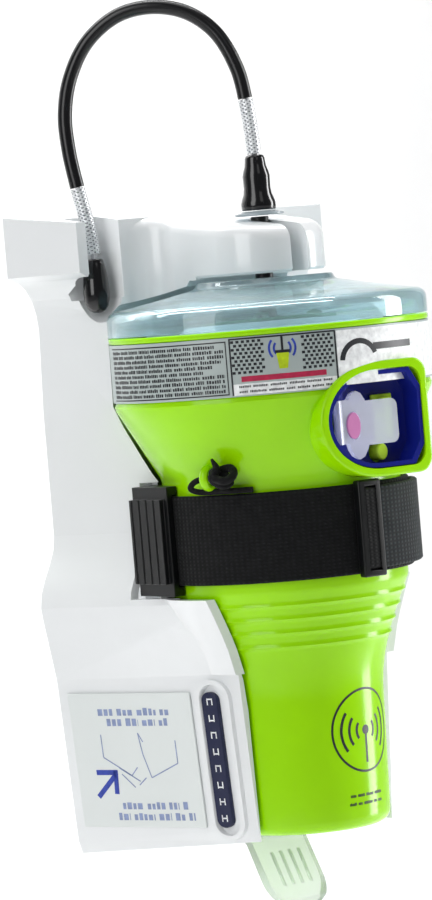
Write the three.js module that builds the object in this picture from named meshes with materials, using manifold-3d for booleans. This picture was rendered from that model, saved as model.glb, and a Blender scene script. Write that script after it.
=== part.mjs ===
// An emergency position beacon strapped into its quick-release wall bracket, in millimetres.
// The wall is the plane y = 0, the beacon stands in front of it (toward -Y) and +Z is up.
// The origin is the middle of the bracket's flat back.

import * as THREE from 'three';
import * as BufferGeometryUtils from 'three/addons/utils/BufferGeometryUtils.js';
import Module from 'manifold-3d';

const wasm = await Module();
wasm.setup();

// ---------------------------------------------------------------- driving dimensions

const GAP = 0.3;                      // clearance kept between touching pieces

const AXIS_Y = -60;                   // the beacon's own axis, in front of the wall
const DOME_TOP = 78.5;                // top of the raised collar round the antenna stem
const RIM_Z = 63;                     // joint between the clear dome and the coloured housing
const BAND_BOTTOM = 41;               // lower edge of the label band
const CONE_BOTTOM = 16;               // where the cone meets the strapped waist
const WAIST_BOTTOM = -20;
const STEM_TOP = -58;                 // start of the slim lower body
const BEACON_BOTTOM = -99;
const HEAD_R = 51.7;                  // mean radius of the head, before it is made oval
const HEAD_WIDE = 54 / HEAD_R;        // the head is 108 wide
const HEAD_DEEP = 47 / HEAD_R;        // and 94 deep
const WAIST_R = 38.5;
const STEM_R = 27.4;
const FOOT_R = 26.4;
const WALL = 2.5;                     // housing wall

const BRACKET_TOP = 104.6;            // both ends are at the wall, and slope in toward the front
const BRACKET_BOTTOM = -104.6;
const TOP_SLOPE = 0.125;
const BOTTOM_SLOPE = 0.066;
const BRACKET_WALL = 3;
const SHOULDER_HALF = 59;             // half width at the wall, at the top block
const RECESS_HALF = 49.5;             // at the slim middle
const KNEE_HALF = 57;                 // at the outward knee below the strap
const KNEE_TOP = 0;                   // where the knee starts to widen, and where it is widest
const KNEE_WIDEST = -23;
const PANEL_HALF = 53;                // at the label panel
const WING_SLOPE = 0.335;             // how fast the side wings close in toward the front
const RIDGE_Y = -69;                  // front edge of the wings beside the lower body
const CHANNEL_GAP = 1.5;              // between the beacon and the channel that it lies in

const HOOD_BOTTOM = 80;
const HOOD_R = 20;
const HOOD_ROUNDING = 4.5;             // fillet along the hood's top edge
const NECK_BOTTOM = 68;               // behind the dome's collar the hood reaches down to the dome
const HOOD_SLOT = 6.6;                // fork that the antenna stem slides into
const FLANGE_Z = 98.5;                // underside of the flange that rests on the hood
const BOOT_BOTTOM = 100.3;
const BOOT_TOP = 118;

const STRAP_Z = -2.5;
const STRAP_WIDTH = 28.5;
const STRAP_THICK = 1.8;
const STRAP_R = WAIST_R + 0.5;        // inner radius of the strap round the waist
const TAIL_R = STRAP_R + STRAP_THICK + 0.5;
const KEEPER_HALF = 17.5;
const STRAP_BACK_Y = -12;             // where it crosses behind the channel
const STRAP_SIDE = 33.5;              // half width of its run inside the bracket

const SWITCH_X = 4;                   // middle of the switch recess
const SWITCH_Z = 31.5;
const SWITCH_FACE_Y = AXIS_Y - 47;
const SWITCH_HALF_WIDE = 19;
const SWITCH_HALF_HIGH = 15.6;
const COWL_EDGE = 2.6;                // lip of the cowl round the recess
const SWITCH_FLOOR_Y = SWITCH_FACE_Y + 7.5;

const TIP_X = -40;                    // where the antenna's tip is stowed
const TIP_Y = -22.5;
const SLOT_LEFT = -46;
const SLOT_RIGHT = -33;

const STEM_R_OUT = 2.9;               // antenna stem between the dome and the hood
const CABLE_R = 2.35;                 // the whip over its core
const CORE_R = 1;
const SLEEVE_BORE = 1.35;             // bore of the whip and its sleeves, round the core

const SLIDER_X = SWITCH_X + 7.5;
const GUARD_X = SWITCH_X - 13;        // hinge line of the clear guard
const GUARD_Y = SWITCH_FLOOR_Y - 4.7;
const THUMB_X = GUARD_X + 7;          // middle of its oval thumb plate
const THUMB_Z = 30.2;
const BUTTON_X = SWITCH_X + 5;
const BUTTON_Z = 20.9;
const HINGE_PIN_R = 0.5;
const BARREL = [24.6, 38.4];          // lower and upper end of the guard's hinge barrel

const RIB_HEIGHTS = [-38, -33.5, -29, -24.5];
const EYELET_HEADING = THREE.MathUtils.degToRad(-70);
const EYELET_R = 41.5;                // from the beacon's axis
const EYELET_Z = 17.3;
const CONTACT_X = [-12, 12];          // the two water contacts in the foot

const BOARD_Y = AXIS_Y + 9;           // back of the main board
const CELL_R = 8.5;
const CELL_Y = AXIS_Y - 3.6;
const CELL_LONG = 45;

const BLOCK_Y = -28;                  // front of the bracket's top block
const SPINE_HALF = 18;                // mounting plate down the bracket's back
const SCREW_X = 10;
const SCREW_HEIGHTS = [-88, 88];
const SCREW_HOLE_R = 2.6;
const STRIP_BOTTOM = -98;             // pockets for the name strips, near the wings' front edges
const STRIP_TOP = -49;
const STRIP_FRONT = -64;
const STRIP_BACK = -54.5;
const STRIP_RIM = 1.4;                // how far the pocket's rim stands out of the wing
const STRIP_SUNK = 0.6;               // and how far its floor lies below the wing's surface
const TAB_HALF = 11;
const TAB_Z = -100.4;                 // top of the release tab, under the beacon's foot

// ---------------------------------------------------------------- colours

const LIME = 0x9be00f;
const WHITE = 0xe9eae8;
const BLACK = 0x17181a;
const CLEAR = 0xcfdcdc;
const NAVY = 0x14206e;

const material = (color, roughness, metalness = 0) =>
  new THREE.MeshStandardMaterial({ color, roughness, metalness });

const finish = {
  lime: material(LIME, 0.35),
  white: material(WHITE, 0.25),
  black: material(BLACK, 0.55),
  rubber: material(0x101012, 0.4),
  webbing: material(0x222427, 0.9),
  clear: material(CLEAR, 0.1),
  navy: material(NAVY, 0.35),
  grey: material(0x9aa0a0, 0.5),
  silver: material(0xb9bdbf, 0.3, 0.8),
  board: material(0x1f5a35, 0.5),
  brass: material(0xc9a24a, 0.3, 0.9),
  ceramic: material(0xd8cfae, 0.5),
  lilac: material(0xb4bcd0, 0.3),
  pink: material(0xc76aa5, 0.4),
  cell: material(0x2f6fb0, 0.4),
};

// ---------------------------------------------------------------- helpers

const beacon = new THREE.Group();
beacon.name = 'assembly';

const add = (name, geometry, look) => {
  const mesh = new THREE.Mesh(geometry, look);
  mesh.name = name;
  beacon.add(mesh);
  return mesh;
};

// three.js geometry to a manifold solid
const solid = (geometry) => {
  const bare = geometry.clone();
  for (const name of Object.keys(bare.attributes)) {
    if (name !== 'position') bare.deleteAttribute(name);
  }
  const merged = BufferGeometryUtils.mergeVertices(bare, 1e-4);
  return new wasm.Manifold(new wasm.Mesh({
    numProp: 3,
    vertProperties: new Float32Array(merged.attributes.position.array),
    triVerts: new Uint32Array(merged.index.array),
  }));
};

// and back again
const geometryOf = (manifold) => {
  const mesh = manifold.getMesh();
  const geometry = new THREE.BufferGeometry();
  geometry.setAttribute('position', new THREE.BufferAttribute(mesh.vertProperties, 3));
  geometry.setIndex(new THREE.BufferAttribute(mesh.triVerts, 1));
  return geometry;
};

const subtract = (body, ...cutters) => cutters.reduce((left, cutter) => left.subtract(cutter), body);
const unite = (body, ...others) => others.reduce((left, other) => left.add(other), body);

const box = (x0, x1, y0, y1, z0, z1) =>
  new THREE.BoxGeometry(x1 - x0, y1 - y0, z1 - z0)
    .translate((x0 + x1) / 2, (y0 + y1) / 2, (z0 + z1) / 2);

const upright = (geometry) => geometry.rotateX(Math.PI / 2);

// cylinder standing on z0, with its axis along Z
const post = (radius, z0, z1, x, y, segments = 24) =>
  upright(new THREE.CylinderGeometry(radius, radius, z1 - z0, segments))
    .translate(x, y, (z0 + z1) / 2);

// cylinder with its axis along Y
const pin = (radius, y0, y1, x, z, segments = 20) =>
  new THREE.CylinderGeometry(radius, radius, y1 - y0, segments)
    .translate(x, (y0 + y1) / 2, z);

// solid of revolution about the beacon's axis, from [radius, z] pairs
const turned = (pairs, segments = 36) =>
  upright(new THREE.LatheGeometry(pairs.map(([r, z]) => new THREE.Vector2(r, z)), segments))
    .translate(0, AXIS_Y, 0);

// the same, closing on itself, for a ring or a shell
const ring = (pairs, segments = 36) => turned([...pairs, pairs[0]], segments);

// The head is oval, the waist and the lower body are round, and the cone turns one into the other.
const makeOval = (geometry) => {
  const position = geometry.attributes.position;
  for (let i = 0; i < position.count; i++) {
    const share = THREE.MathUtils.smoothstep(position.getZ(i), CONE_BOTTOM, BAND_BOTTOM);
    const y = position.getY(i) - AXIS_Y;
    position.setX(i, position.getX(i) * THREE.MathUtils.lerp(1, HEAD_WIDE, share));
    position.setY(i, AXIS_Y + y * THREE.MathUtils.lerp(1, HEAD_DEEP, share));
  }
  return geometry;
};

// a flat outline in the XY plane, raised from z0 to z1
const raised = (shape, z0, z1, curveSegments = 12) =>
  new THREE.ExtrudeGeometry(shape, { depth: z1 - z0, bevelEnabled: false, curveSegments })
    .translate(0, 0, z0);

// a flat outline in the XZ plane, running back from y0 to y1
const facing = (shape, y0, y1, curveSegments = 10) =>
  new THREE.ExtrudeGeometry(shape, { depth: y1 - y0, bevelEnabled: false, curveSegments })
    .rotateX(Math.PI / 2)
    .translate(0, y1, 0);

// a flat outline in the YZ plane, running from x0 to x1
const sideways = (shape, x0, x1, curveSegments = 8) =>
  new THREE.ExtrudeGeometry(shape, { depth: x1 - x0, bevelEnabled: false, curveSegments })
    .rotateY(Math.PI / 2)
    .rotateX(Math.PI / 2)
    .translate(x0, 0, 0);

const outline = (points) => new THREE.Shape(points.map(([x, y]) => new THREE.Vector2(x, y)));

const ovalShape = (x, z, halfWide, halfHigh) =>
  new THREE.Shape().absellipse(x, z, halfWide, halfHigh, 0, Math.PI * 2);

const circleShape = (radius) => new THREE.Shape().absarc(0, 0, radius, 0, Math.PI * 2);

const roundedRect = (x0, x1, z0, z1, radius) => {
  const shape = new THREE.Shape();
  shape.moveTo(x0 + radius, z0);
  shape.lineTo(x1 - radius, z0);
  shape.absarc(x1 - radius, z0 + radius, radius, -Math.PI / 2, 0);
  shape.lineTo(x1, z1 - radius);
  shape.absarc(x1 - radius, z1 - radius, radius, 0, Math.PI / 2);
  shape.lineTo(x0 + radius, z1);
  shape.absarc(x0 + radius, z1 - radius, radius, Math.PI / 2, Math.PI);
  shape.lineTo(x0, z0 + radius);
  shape.absarc(x0 + radius, z0 + radius, radius, Math.PI, Math.PI * 1.5);
  return shape;
};

// ---------------------------------------------------------------- the beacon's outer line

// Radius of the housing at a height, from the head down to the foot.
const housingRadius = (z) => {
  if (z >= BAND_BOTTOM) return HEAD_R;
  if (z >= CONE_BOTTOM) {
    return THREE.MathUtils.mapLinear(z, BAND_BOTTOM, CONE_BOTTOM, HEAD_R, WAIST_R);
  }
  if (z >= WAIST_BOTTOM) return WAIST_R;
  if (z >= STEM_TOP) {
    const share = THREE.MathUtils.inverseLerp(WAIST_BOTTOM, STEM_TOP, z);
    return THREE.MathUtils.lerp(WAIST_R, STEM_R, Math.sin(share * Math.PI / 2));
  }
  return THREE.MathUtils.mapLinear(z, STEM_TOP, BEACON_BOTTOM, STEM_R, FOOT_R);
};

const STATIONS = [
  BEACON_BOTTOM + 3, STEM_TOP, -48, ...RIB_HEIGHTS, WAIST_BOTTOM, CONE_BOTTOM, 24, 32, BAND_BOTTOM,
];

// ---------------------------------------------------------------- bracket

// Half width of the bracket at the wall, by height, from top to bottom.
const bracketEdge = () => {
  const points = [[SHOULDER_HALF, BRACKET_TOP], [SHOULDER_HALF, 85]];
  for (let i = 1; i <= 5; i++) {
    const angle = (i / 5) * Math.PI / 2;
    points.push([
      SHOULDER_HALF - 1 - 9.5 * Math.sin(angle),
      67 + 17 * Math.cos(angle),
    ]);
  }
  points.push([RECESS_HALF, 40], [RECESS_HALF, KNEE_TOP]);
  for (let i = 1; i <= 5; i++) {
    const share = i / 5;
    const ease = (1 - Math.cos(share * Math.PI)) / 2;
    points.push([
      THREE.MathUtils.lerp(RECESS_HALF, KNEE_HALF, ease),
      THREE.MathUtils.lerp(KNEE_TOP, KNEE_WIDEST, share),
    ]);
  }
  points.push([KNEE_HALF - 0.5, KNEE_WIDEST - 4], [PANEL_HALF + 0.2, -47], [PANEL_HALF, -50]);
  points.push([PANEL_HALF - 3, BRACKET_BOTTOM + 4], [PANEL_HALF - 4.2, BRACKET_BOTTOM]);
  return points;
};

// One half of the bracket's block: the edge line runs forward, leaning in by the wing's slope.
const wingBlock = (side, inset) => {
  const edge = bracketEdge().map(([x, z]) => [x - inset, z]);
  const face = outline([[0, BRACKET_TOP], ...edge, [0, BRACKET_BOTTOM]].reverse());
  const geometry = facing(face, RIDGE_Y + inset, inset);
  const position = geometry.attributes.position;
  for (let i = 0; i < position.count; i++) {
    const x = position.getX(i);
    if (x > 1) position.setX(i, x + WING_SLOPE * position.getY(i));
    if (side < 0) position.setX(i, -position.getX(i));
  }
  if (side < 0) flipFaces(geometry);
  return geometry;
};

// turns a mirrored geometry's triangles to face out again
const flipFaces = (geometry) => {
  const array = geometry.attributes.position.array;
  for (let i = 0; i < array.length; i += 9) {
    for (let k = 0; k < 3; k++) {
      [array[i + 3 + k], array[i + 6 + k]] = [array[i + 6 + k], array[i + 3 + k]];
    }
  }
};

// The space that the beacon lies in: its outline grown by a gap and open below the foot.
const room = (growth) => {
  const pairs = [[0, BEACON_BOTTOM - 6]];
  for (const z of STATIONS) {
    pairs.push([housingRadius(z) + growth, z === STATIONS[0] ? BEACON_BOTTOM - 6 : z]);
  }
  const top = DOME_TOP - 0.5 + growth;
  pairs.push([HEAD_R + growth, 69 + growth], [HEAD_R - 3.5 + growth, 71.9 + growth]);
  pairs.push([24 + growth, 76.3 + growth], [22.8 + growth, top], [0, top]);
  return solid(makeOval(turned(pairs)));
};

// How far forward the bracket may reach, by height, as a slab across its whole width.
const depthLimit = (inset) => {
  const block = BLOCK_Y + inset;
  const ridge = RIDGE_Y + inset;
  return solid(sideways(outline([
    [5, BRACKET_TOP + 5], [block, BRACKET_TOP + 5], [block, 55], [-48 + inset, 26], [ridge, -8],
    [ridge, BRACKET_BOTTOM - 5], [5, BRACKET_BOTTOM - 5],
  ]), -70, 70));
};

// the space between the bracket's top and bottom, which slope in toward the front
const betweenEnds = (inset) => {
  const back = 5;
  const front = -95;
  const topAt = (y) => BRACKET_TOP + TOP_SLOPE * y - inset;
  const bottomAt = (y) => BRACKET_BOTTOM - BOTTOM_SLOPE * y + inset;
  return solid(sideways(outline([
    [back, topAt(back)], [front, topAt(front)], [front, bottomAt(front)], [back, bottomAt(back)],
  ]), -70, 70));
};

// lip that carries each wing's front edge round the beacon, below the strap
const wingLip = () => room(CHANNEL_GAP + BRACKET_WALL + 0.4)
  .intersect(solid(box(-60, 60, RIDGE_Y - 1.3, -46, -46, STRAP_Z - KEEPER_HALF - 1.2)));

// Plan of the hood, drawn in by an inset: a half-round nose on a neck that flares into the block.
const hoodPlan = (inset) => {
  const half = HOOD_R - inset;
  const flare = 11 + inset;
  const shape = new THREE.Shape();
  shape.moveTo(half, AXIS_Y);
  shape.absarc(0, AXIS_Y, half, 0, Math.PI, true);
  shape.absarc(-HOOD_R - 11, BLOCK_Y - 11, flare, 0, Math.PI / 2);
  shape.lineTo(-HOOD_R - 11, BLOCK_Y + 4);
  shape.lineTo(HOOD_R + 11, BLOCK_Y + 4);
  shape.absarc(HOOD_R + 11, BLOCK_Y - 11, flare, Math.PI / 2, Math.PI);
  return shape;
};

// joins closed rings of equally many points into a solid with flat ends
const loft = (rings) => {
  const count = rings[0].length;
  const last = (rings.length - 1) * count;
  const index = [];
  for (let a = 0; a < last; a++) {
    const b = a % count === count - 1 ? a + 1 - count : a + 1;
    index.push(a, b, b + count, a, b + count, a + count);
  }
  const plan = rings[0].map((p) => new THREE.Vector2(p.x, p.y));
  for (const [a, b, c] of THREE.ShapeUtils.triangulateShape(plan, [])) {
    index.push(c, b, a, last + a, last + b, last + c);
  }
  return new THREE.BufferGeometry().setFromPoints(rings.flat()).setIndex(index);
};

// hood over the dome, with its sloping top edge rounded off
const hoodCap = () => {
  const rings = [];
  const ringAt = (inset, height, slope) => {
    const points = hoodPlan(inset).getPoints(14);
    if (THREE.ShapeUtils.isClockWise(points)) points.reverse();
    if (points[0].distanceTo(points[points.length - 1]) < 1e-3) points.pop();
    rings.push(points.map((p) => new THREE.Vector3(p.x, p.y, height + slope * p.y)));
  };
  ringAt(0.8, HOOD_BOTTOM, 0);
  ringAt(0, HOOD_BOTTOM + 0.8, 0);
  for (let i = 0; i <= 5; i++) {
    const angle = (i / 5) * Math.PI / 2;
    const inset = HOOD_ROUNDING * (1 - Math.cos(angle));
    ringAt(inset, BRACKET_TOP - HOOD_ROUNDING * (1 - Math.sin(angle)), TOP_SLOPE);
  }
  return solid(loft(rings));
};

// the neck below the hood, down to the dome
const neck = () => solid(raised(hoodPlan(0), NECK_BOTTOM, HOOD_BOTTOM + 2, 14))
  .intersect(solid(box(-60, 60, -50, 0, NECK_BOTTOM - 1, BRACKET_TOP)))
  .subtract(room(CHANNEL_GAP));

const makeBracket = () => {
  const wings = (inset) => solid(wingBlock(1, inset)).add(solid(wingBlock(-1, inset)));
  const outer = wings(0).intersect(depthLimit(0)).add(wingLip()).subtract(room(CHANNEL_GAP));
  const hollow = wings(BRACKET_WALL)
    .intersect(depthLimit(BRACKET_WALL))
    .intersect(betweenEnds(BRACKET_WALL))
    .subtract(room(CHANNEL_GAP + BRACKET_WALL));
  const half = HOOD_SLOT / 2;
  const fork = solid(box(-half, half, AXIS_Y - 30, AXIS_Y, HOOD_BOTTOM - 1, BRACKET_TOP))
    .add(solid(post(half, HOOD_BOTTOM - 1, BRACKET_TOP, 0, AXIS_Y)));
  const spine = solid(box(-SPINE_HALF, SPINE_HALF, -4, 0, BRACKET_BOTTOM + 1, BRACKET_TOP - 1));
  const stowWalls = solid(box(SLOT_LEFT - 3, SLOT_RIGHT + 2, BLOCK_Y, TIP_Y + 10.5, 60, BRACKET_TOP))
    .intersect(outer);
  let body = subtract(outer, hollow);
  body = unite(body, hoodCap(), neck(), spine, stowWalls).intersect(betweenEnds(0));
  body = subtract(body, fork, ...stowSlot(), solid(strapRun(0.8, STRAP_WIDTH / 2 + 1)));
  for (const side of [-1, 1]) {
    body = body.subtract(solid(keeperNotch(side)));
    body = body.add(solid(stripRim(side))).subtract(solid(stripPocket(side)));
    for (const z of SCREW_HEIGHTS) {
      body = body.subtract(solid(pin(SCREW_HOLE_R, -6, 2, side * SCREW_X, z, 16)));
    }
  }
  return body.subtract(solid(tabWindow()));
};

// slot through the block's front that the antenna's tip is stowed in, with a scooped mouth below it
const stowSlot = () => [
  solid(box(SLOT_LEFT, SLOT_RIGHT, BLOCK_Y - 12, TIP_Y + 7.5, 76, BRACKET_TOP + 1)),
  solid(new THREE.SphereGeometry(7.8, 24, 16).scale(1, 1, 1.25).translate(SLOT_LEFT + 5, TIP_Y - 2.5, 78)),
];

const mirrored = (side, a, b) => (side < 0 ? [-b, -a] : [a, b]);

// notch in a wing's front edge that the strap's keeper lies in
const keeperNotch = (side) => {
  const [x0, x1] = mirrored(side, 33, 60);
  return box(x0, x1, -66, -34.5, STRAP_Z - KEEPER_HALF - 1, STRAP_Z + KEEPER_HALF + 1);
};

const tabWindow = () => box(-TAB_HALF - 0.5, TAB_HALF + 0.5, -52, -27.4, BRACKET_BOTTOM - 1, -97.2);

// x of a wing's outer surface at a place on it
const wingX = (y, z) => {
  const edge = bracketEdge();
  const upper = edge.findIndex(([, height]) => height < z);
  const [x1, z1] = edge[upper - 1];
  const [x0, z0] = edge[upper];
  return THREE.MathUtils.mapLinear(z, z0, z1, x0, x1) + WING_SLOPE * y;
};

// Lays a piece on a wing's outer surface: its own x is its height above that surface.
const layOnWing = (side, piece) => {
  const geometry = piece.index ? piece.toNonIndexed() : piece;
  const position = geometry.attributes.position;
  for (let i = 0; i < position.count; i++) {
    position.setX(i, side * (wingX(position.getY(i), position.getZ(i)) + position.getX(i)));
  }
  if (side < 0) flipFaces(geometry);
  return geometry;
};

const stripOutline = (edge) => {
  const front = STRIP_FRONT - edge;
  const back = STRIP_BACK + edge;
  return roundedRect(front, back, STRIP_BOTTOM - edge, STRIP_TOP + edge, (back - front) / 2 - 0.01);
};

// raised rim round the name strip's pocket, and the pocket itself
const stripRim = (side) => layOnWing(side, sideways(stripOutline(1.5), -1, STRIP_RIM));
const stripPocket = (side) => layOnWing(side, sideways(stripOutline(0), -STRIP_SUNK, 5));

// The name strip lies on the pocket's floor, against its back edge.
const nameStrip = (side) => layOnWing(side, sideways(
  roundedRect(STRIP_BACK - 6, STRIP_BACK - GAP, STRIP_BOTTOM + 2.5, STRIP_TOP - 2.5, 2.8),
  -STRIP_SUNK + 0.05, 0.9));

// thin instruction plate lying on the left wing
const instructionPlate = () => layOnWing(-1, box(0.3, 0.9, -50.5, -4, -95.5, -51.5));

// Tongue below the channel: it starts under the beacon's foot and runs down and forward.
const releaseTab = () => {
  const thick = 2.6;
  const points = [
    [-28.2, TAB_Z], [-38, TAB_Z], [-41, TAB_Z - 1.6], [-54, -123], [-54, -126], [-51.5, -126.5],
    [-39.5, TAB_Z - 5], [-37, TAB_Z - thick], [-28.2, TAB_Z - thick],
  ];
  const tongue = solid(sideways(outline(points.reverse()), -TAB_HALF, TAB_HALF));
  const frontView = solid(facing(roundedRect(-TAB_HALF, TAB_HALF, -126.5, -80, TAB_HALF - 1.5), -60, -20, 8));
  return tongue.intersect(frontView);
};

// ---------------------------------------------------------------- beacon housing

const makeHousing = () => {
  const outer = [
    [0, BEACON_BOTTOM], [FOOT_R - 3.6, BEACON_BOTTOM], [FOOT_R - 1.1, BEACON_BOTTOM + 0.9],
  ];
  for (const z of STATIONS) {
    if (RIB_HEIGHTS.includes(z)) outer.push(...rib(z));
    else outer.push([housingRadius(z), z]);
  }
  outer.push([HEAD_R - 1, BAND_BOTTOM + 1], [HEAD_R - 1, RIM_Z - 1.6]);
  outer.push([HEAD_R, RIM_Z - 1.2], [HEAD_R, RIM_Z]);
  const inner = [[HEAD_R - 1 - WALL, RIM_Z], [HEAD_R - 1 - WALL, BAND_BOTTOM + 1]];
  for (const z of [...STATIONS].reverse()) {
    inner.push([housingRadius(z) - WALL, Math.max(z, BEACON_BOTTOM + WALL)]);
  }
  inner.push([0, BEACON_BOTTOM + WALL]);
  const shell = solid(makeOval(turned([...outer, ...inner])));
  const inside = solid(makeOval(turned([[0, BEACON_BOTTOM + 4], ...insideLine(), [0, RIM_Z + 1]])));
  const cowl = solid(switchCowl(0, SWITCH_FACE_Y)).subtract(inside);
  const tray = solid(switchOutline(0, SWITCH_FACE_Y - 1, SWITCH_FLOOR_Y + 1.6));
  let body = shell.add(cowl).subtract(tray);
  body = body.add(solid(eyelet()));
  for (const x of CONTACT_X) {
    body = body.subtract(solid(post(1.9, BEACON_BOTTOM - 1, -90, x, AXIS_Y, 12)));
  }
  return body.subtract(solid(pin(3.6, SWITCH_FLOOR_Y, AXIS_Y - 30, BUTTON_X, BUTTON_Z)));
};

const insideLine = () => STATIONS.slice(1).map((z) => [housingRadius(z) - WALL, z])
  .concat([[HEAD_R - 1 - WALL, RIM_Z + 1]]);

// D-shaped outline of the switch recess, grown by an edge width
const switchOutline = (edge, y0, y1) => {
  const right = SWITCH_X + SWITCH_HALF_WIDE + edge;
  const high = SWITCH_HALF_HIGH + edge;
  const round = new THREE.Shape();
  const centre = SWITCH_X + 1;
  round.moveTo(centre, SWITCH_Z - high);
  round.lineTo(right - 4, SWITCH_Z - high);
  round.lineTo(right, SWITCH_Z - high + 6);
  round.lineTo(right, SWITCH_Z + high - 6);
  round.lineTo(right - 4, SWITCH_Z + high);
  round.lineTo(centre, SWITCH_Z + high);
  round.absellipse(centre, SWITCH_Z, SWITCH_HALF_WIDE + 1 + edge, high, Math.PI / 2, Math.PI * 1.5);
  return facing(round, y0, y1, 8);
};

const switchCowl = (growth, y0) => switchOutline(COWL_EDGE + growth, y0, AXIS_Y - 20);

// a place round the beacon's axis, by its heading from the front
const placeAt = (heading, radius, z) => [
  radius * Math.sin(heading), AXIS_Y - radius * Math.cos(heading), z,
];

// a raised hoop on the tapered part of the housing
const rib = (z) => [
  [housingRadius(z - 1), z - 1], [housingRadius(z) + 0.6, z], [housingRadius(z + 1), z + 1],
];

const eyelet = () => {
  const shape = circleShape(4.2);
  shape.holes.push(new THREE.Path().absarc(0, 0, 1.9, 0, Math.PI * 2, true));
  return new THREE.ExtrudeGeometry(shape, { depth: 3, bevelEnabled: false, curveSegments: 8 })
    .translate(0, 0, -1.5)
    .rotateX(Math.PI / 2)
    .rotateZ(Math.PI / 2 + EYELET_HEADING)
    .translate(...placeAt(EYELET_HEADING, EYELET_R, EYELET_Z));
};

const makeDome = () => {
  const clear = 2.2;
  const z = RIM_Z + GAP;
  return makeOval(ring([
    [HEAD_R, z], [HEAD_R, 68.4], [HEAD_R - 1, 70.6], [HEAD_R - 3.5, 71.9], [24, 76.3], [22.6, 76.8],
    [21.6, DOME_TOP], [STEM_R_OUT + 0.6, DOME_TOP], [STEM_R_OUT + 0.6, DOME_TOP - clear],
    [20, DOME_TOP - clear], [22.4, 74.4], [HEAD_R - 4.4, 69.8], [HEAD_R - clear - 0.6, 69],
    [HEAD_R - clear, 67.8], [HEAD_R - clear, z],
  ]));
};

const makeLabelBand = () => {
  const band = solid(makeOval(ring([
    [HEAD_R - 0.7, BAND_BOTTOM + 1.4], [HEAD_R - 0.1, BAND_BOTTOM + 1.4],
    [HEAD_R - 0.1, RIM_Z - 2], [HEAD_R - 0.7, RIM_Z - 2],
  ])));
  return band.subtract(solid(switchCowl(GAP, SWITCH_FACE_Y - 3)));
};

// ---------------------------------------------------------------- what the dome covers

const domeSeal = () => makeOval(ring([
  [HEAD_R - 5.4, RIM_Z - 3], [HEAD_R - 3.8, RIM_Z - 3],
  [HEAD_R - 3.8, RIM_Z - 0.4], [HEAD_R - 5.4, RIM_Z - 0.4],
]));

const chassis = () => makeOval(ring([
  [STEM_R_OUT + 0.5, 57], [46, 57], [46, 59.5], [30, 59.5], [27, 66], [STEM_R_OUT + 0.5, 66],
]));

const strobeBoard = () => ring([
  [STEM_R_OUT + 0.4, 66.3], [22, 66.3], [22, 67.9], [STEM_R_OUT + 0.4, 67.9],
], 24);

const strobeLed = (index) => {
  const angle = (index + 0.5) * Math.PI / 2;
  return post(2.6, 68.2, 71.4, 15 * Math.cos(angle), AXIS_Y + 15 * Math.sin(angle), 12);
};

// ---------------------------------------------------------------- electronics in the lower body

const mainBoard = () => box(-18, 18, BOARD_Y, BOARD_Y + 1.6, -84, 30);

const cradle = () => solid(box(-17.6, 17.6, BOARD_Y - 5.6, BOARD_Y - 0.4, -86, 8))
  .subtract(solid(post(CELL_R + GAP, -85, 7, -CELL_R - 0.3, CELL_Y, 20)))
  .subtract(solid(post(CELL_R + GAP, -85, 7, CELL_R + 0.3, CELL_Y, 20)));

const batteryCell = (column, row) => post(
  CELL_R, -84.5 + row * (CELL_LONG + 0.5), -84.5 + row * (CELL_LONG + 0.5) + CELL_LONG,
  (column ? 1 : -1) * (CELL_R + 0.3), CELL_Y, 20);

const contact = (x) => upright(new THREE.LatheGeometry([
  [0, -90.6], [1.5, -90.6], [1.5, BEACON_BOTTOM - GAP], [2.9, BEACON_BOTTOM - GAP],
  [2.9, BEACON_BOTTOM - 0.9], [0, BEACON_BOTTOM - 0.9],
].reverse().map(([r, z]) => new THREE.Vector2(r, z)), 14)).translate(x, AXIS_Y, 0);

// ---------------------------------------------------------------- antenna

// The whip rises from its boot, loops over and comes down into the stow slot. Its plane turns from
// the beacon's axis toward the slot, so a point is told by its way along that plane and its height.
const LOOP = [
  [0, BOOT_BOTTOM + 0.3], [0, 110], [0, BOOT_TOP], [1.4, 136], [3.4, 146.5], [9.4, 158.4],
  [18.4, 165.6], [29.4, 168.2], [40.6, 166.4], [51, 158.9], [57.6, 147.6], [60.2, 136.3],
  [60, 125], [58.2, 112.5], [56, 101], [54.83, 90], [54.83, 80],
];

const toSlot = new THREE.Vector2(TIP_X, TIP_Y - AXIS_Y).normalize();

const whipCurve = new THREE.CatmullRomCurve3(LOOP.map(([along, z]) => new THREE.Vector3(
  toSlot.x * along, AXIS_Y + toSlot.y * along, z)), false, 'centripetal');

// the share of the whip's length at which it reaches one of the listed points
const whipShare = (index) => {
  const lengths = whipCurve.getLengths((LOOP.length - 1) * 20);
  return lengths[index * 20] / lengths[lengths.length - 1];
};

const whipPiece = (from, to, outer, inner, steps, sides) => {
  const points = [];
  for (let i = 0; i <= steps; i++) {
    points.push(whipCurve.getPointAt(THREE.MathUtils.lerp(from, to, i / steps)));
  }
  const shape = circleShape(outer);
  if (inner) shape.holes.push(new THREE.Path().absarc(0, 0, inner, 0, Math.PI * 2, true));
  return new THREE.ExtrudeGeometry(shape, {
    steps, curveSegments: sides, bevelEnabled: false, extrudePath: new THREE.CatmullRomCurve3(points),
  });
};

// a run of the whip's cover or of a sleeve, round the core
const cableRun = (from, to, steps) => whipPiece(from, to, CABLE_R, SLEEVE_BORE, steps, 5);

const lathePost = (pairs, x, y, segments = 20) => upright(
  new THREE.LatheGeometry(pairs.map(([r, z]) => new THREE.Vector2(r, z)), segments)).translate(x, y, 0);

const boot = () => {
  const bore = CORE_R + GAP;
  const pairs = [
    [bore, BOOT_BOTTOM], [5.6, BOOT_BOTTOM], [5.6, 103.6], [4.4, 107.4], [4.3, 111.5], [3.4, 115.6],
    [2.6, BOOT_TOP], [bore, BOOT_TOP],
  ];
  return lathePost([...pairs, pairs[0]], 0, AXIS_Y);
};

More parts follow.
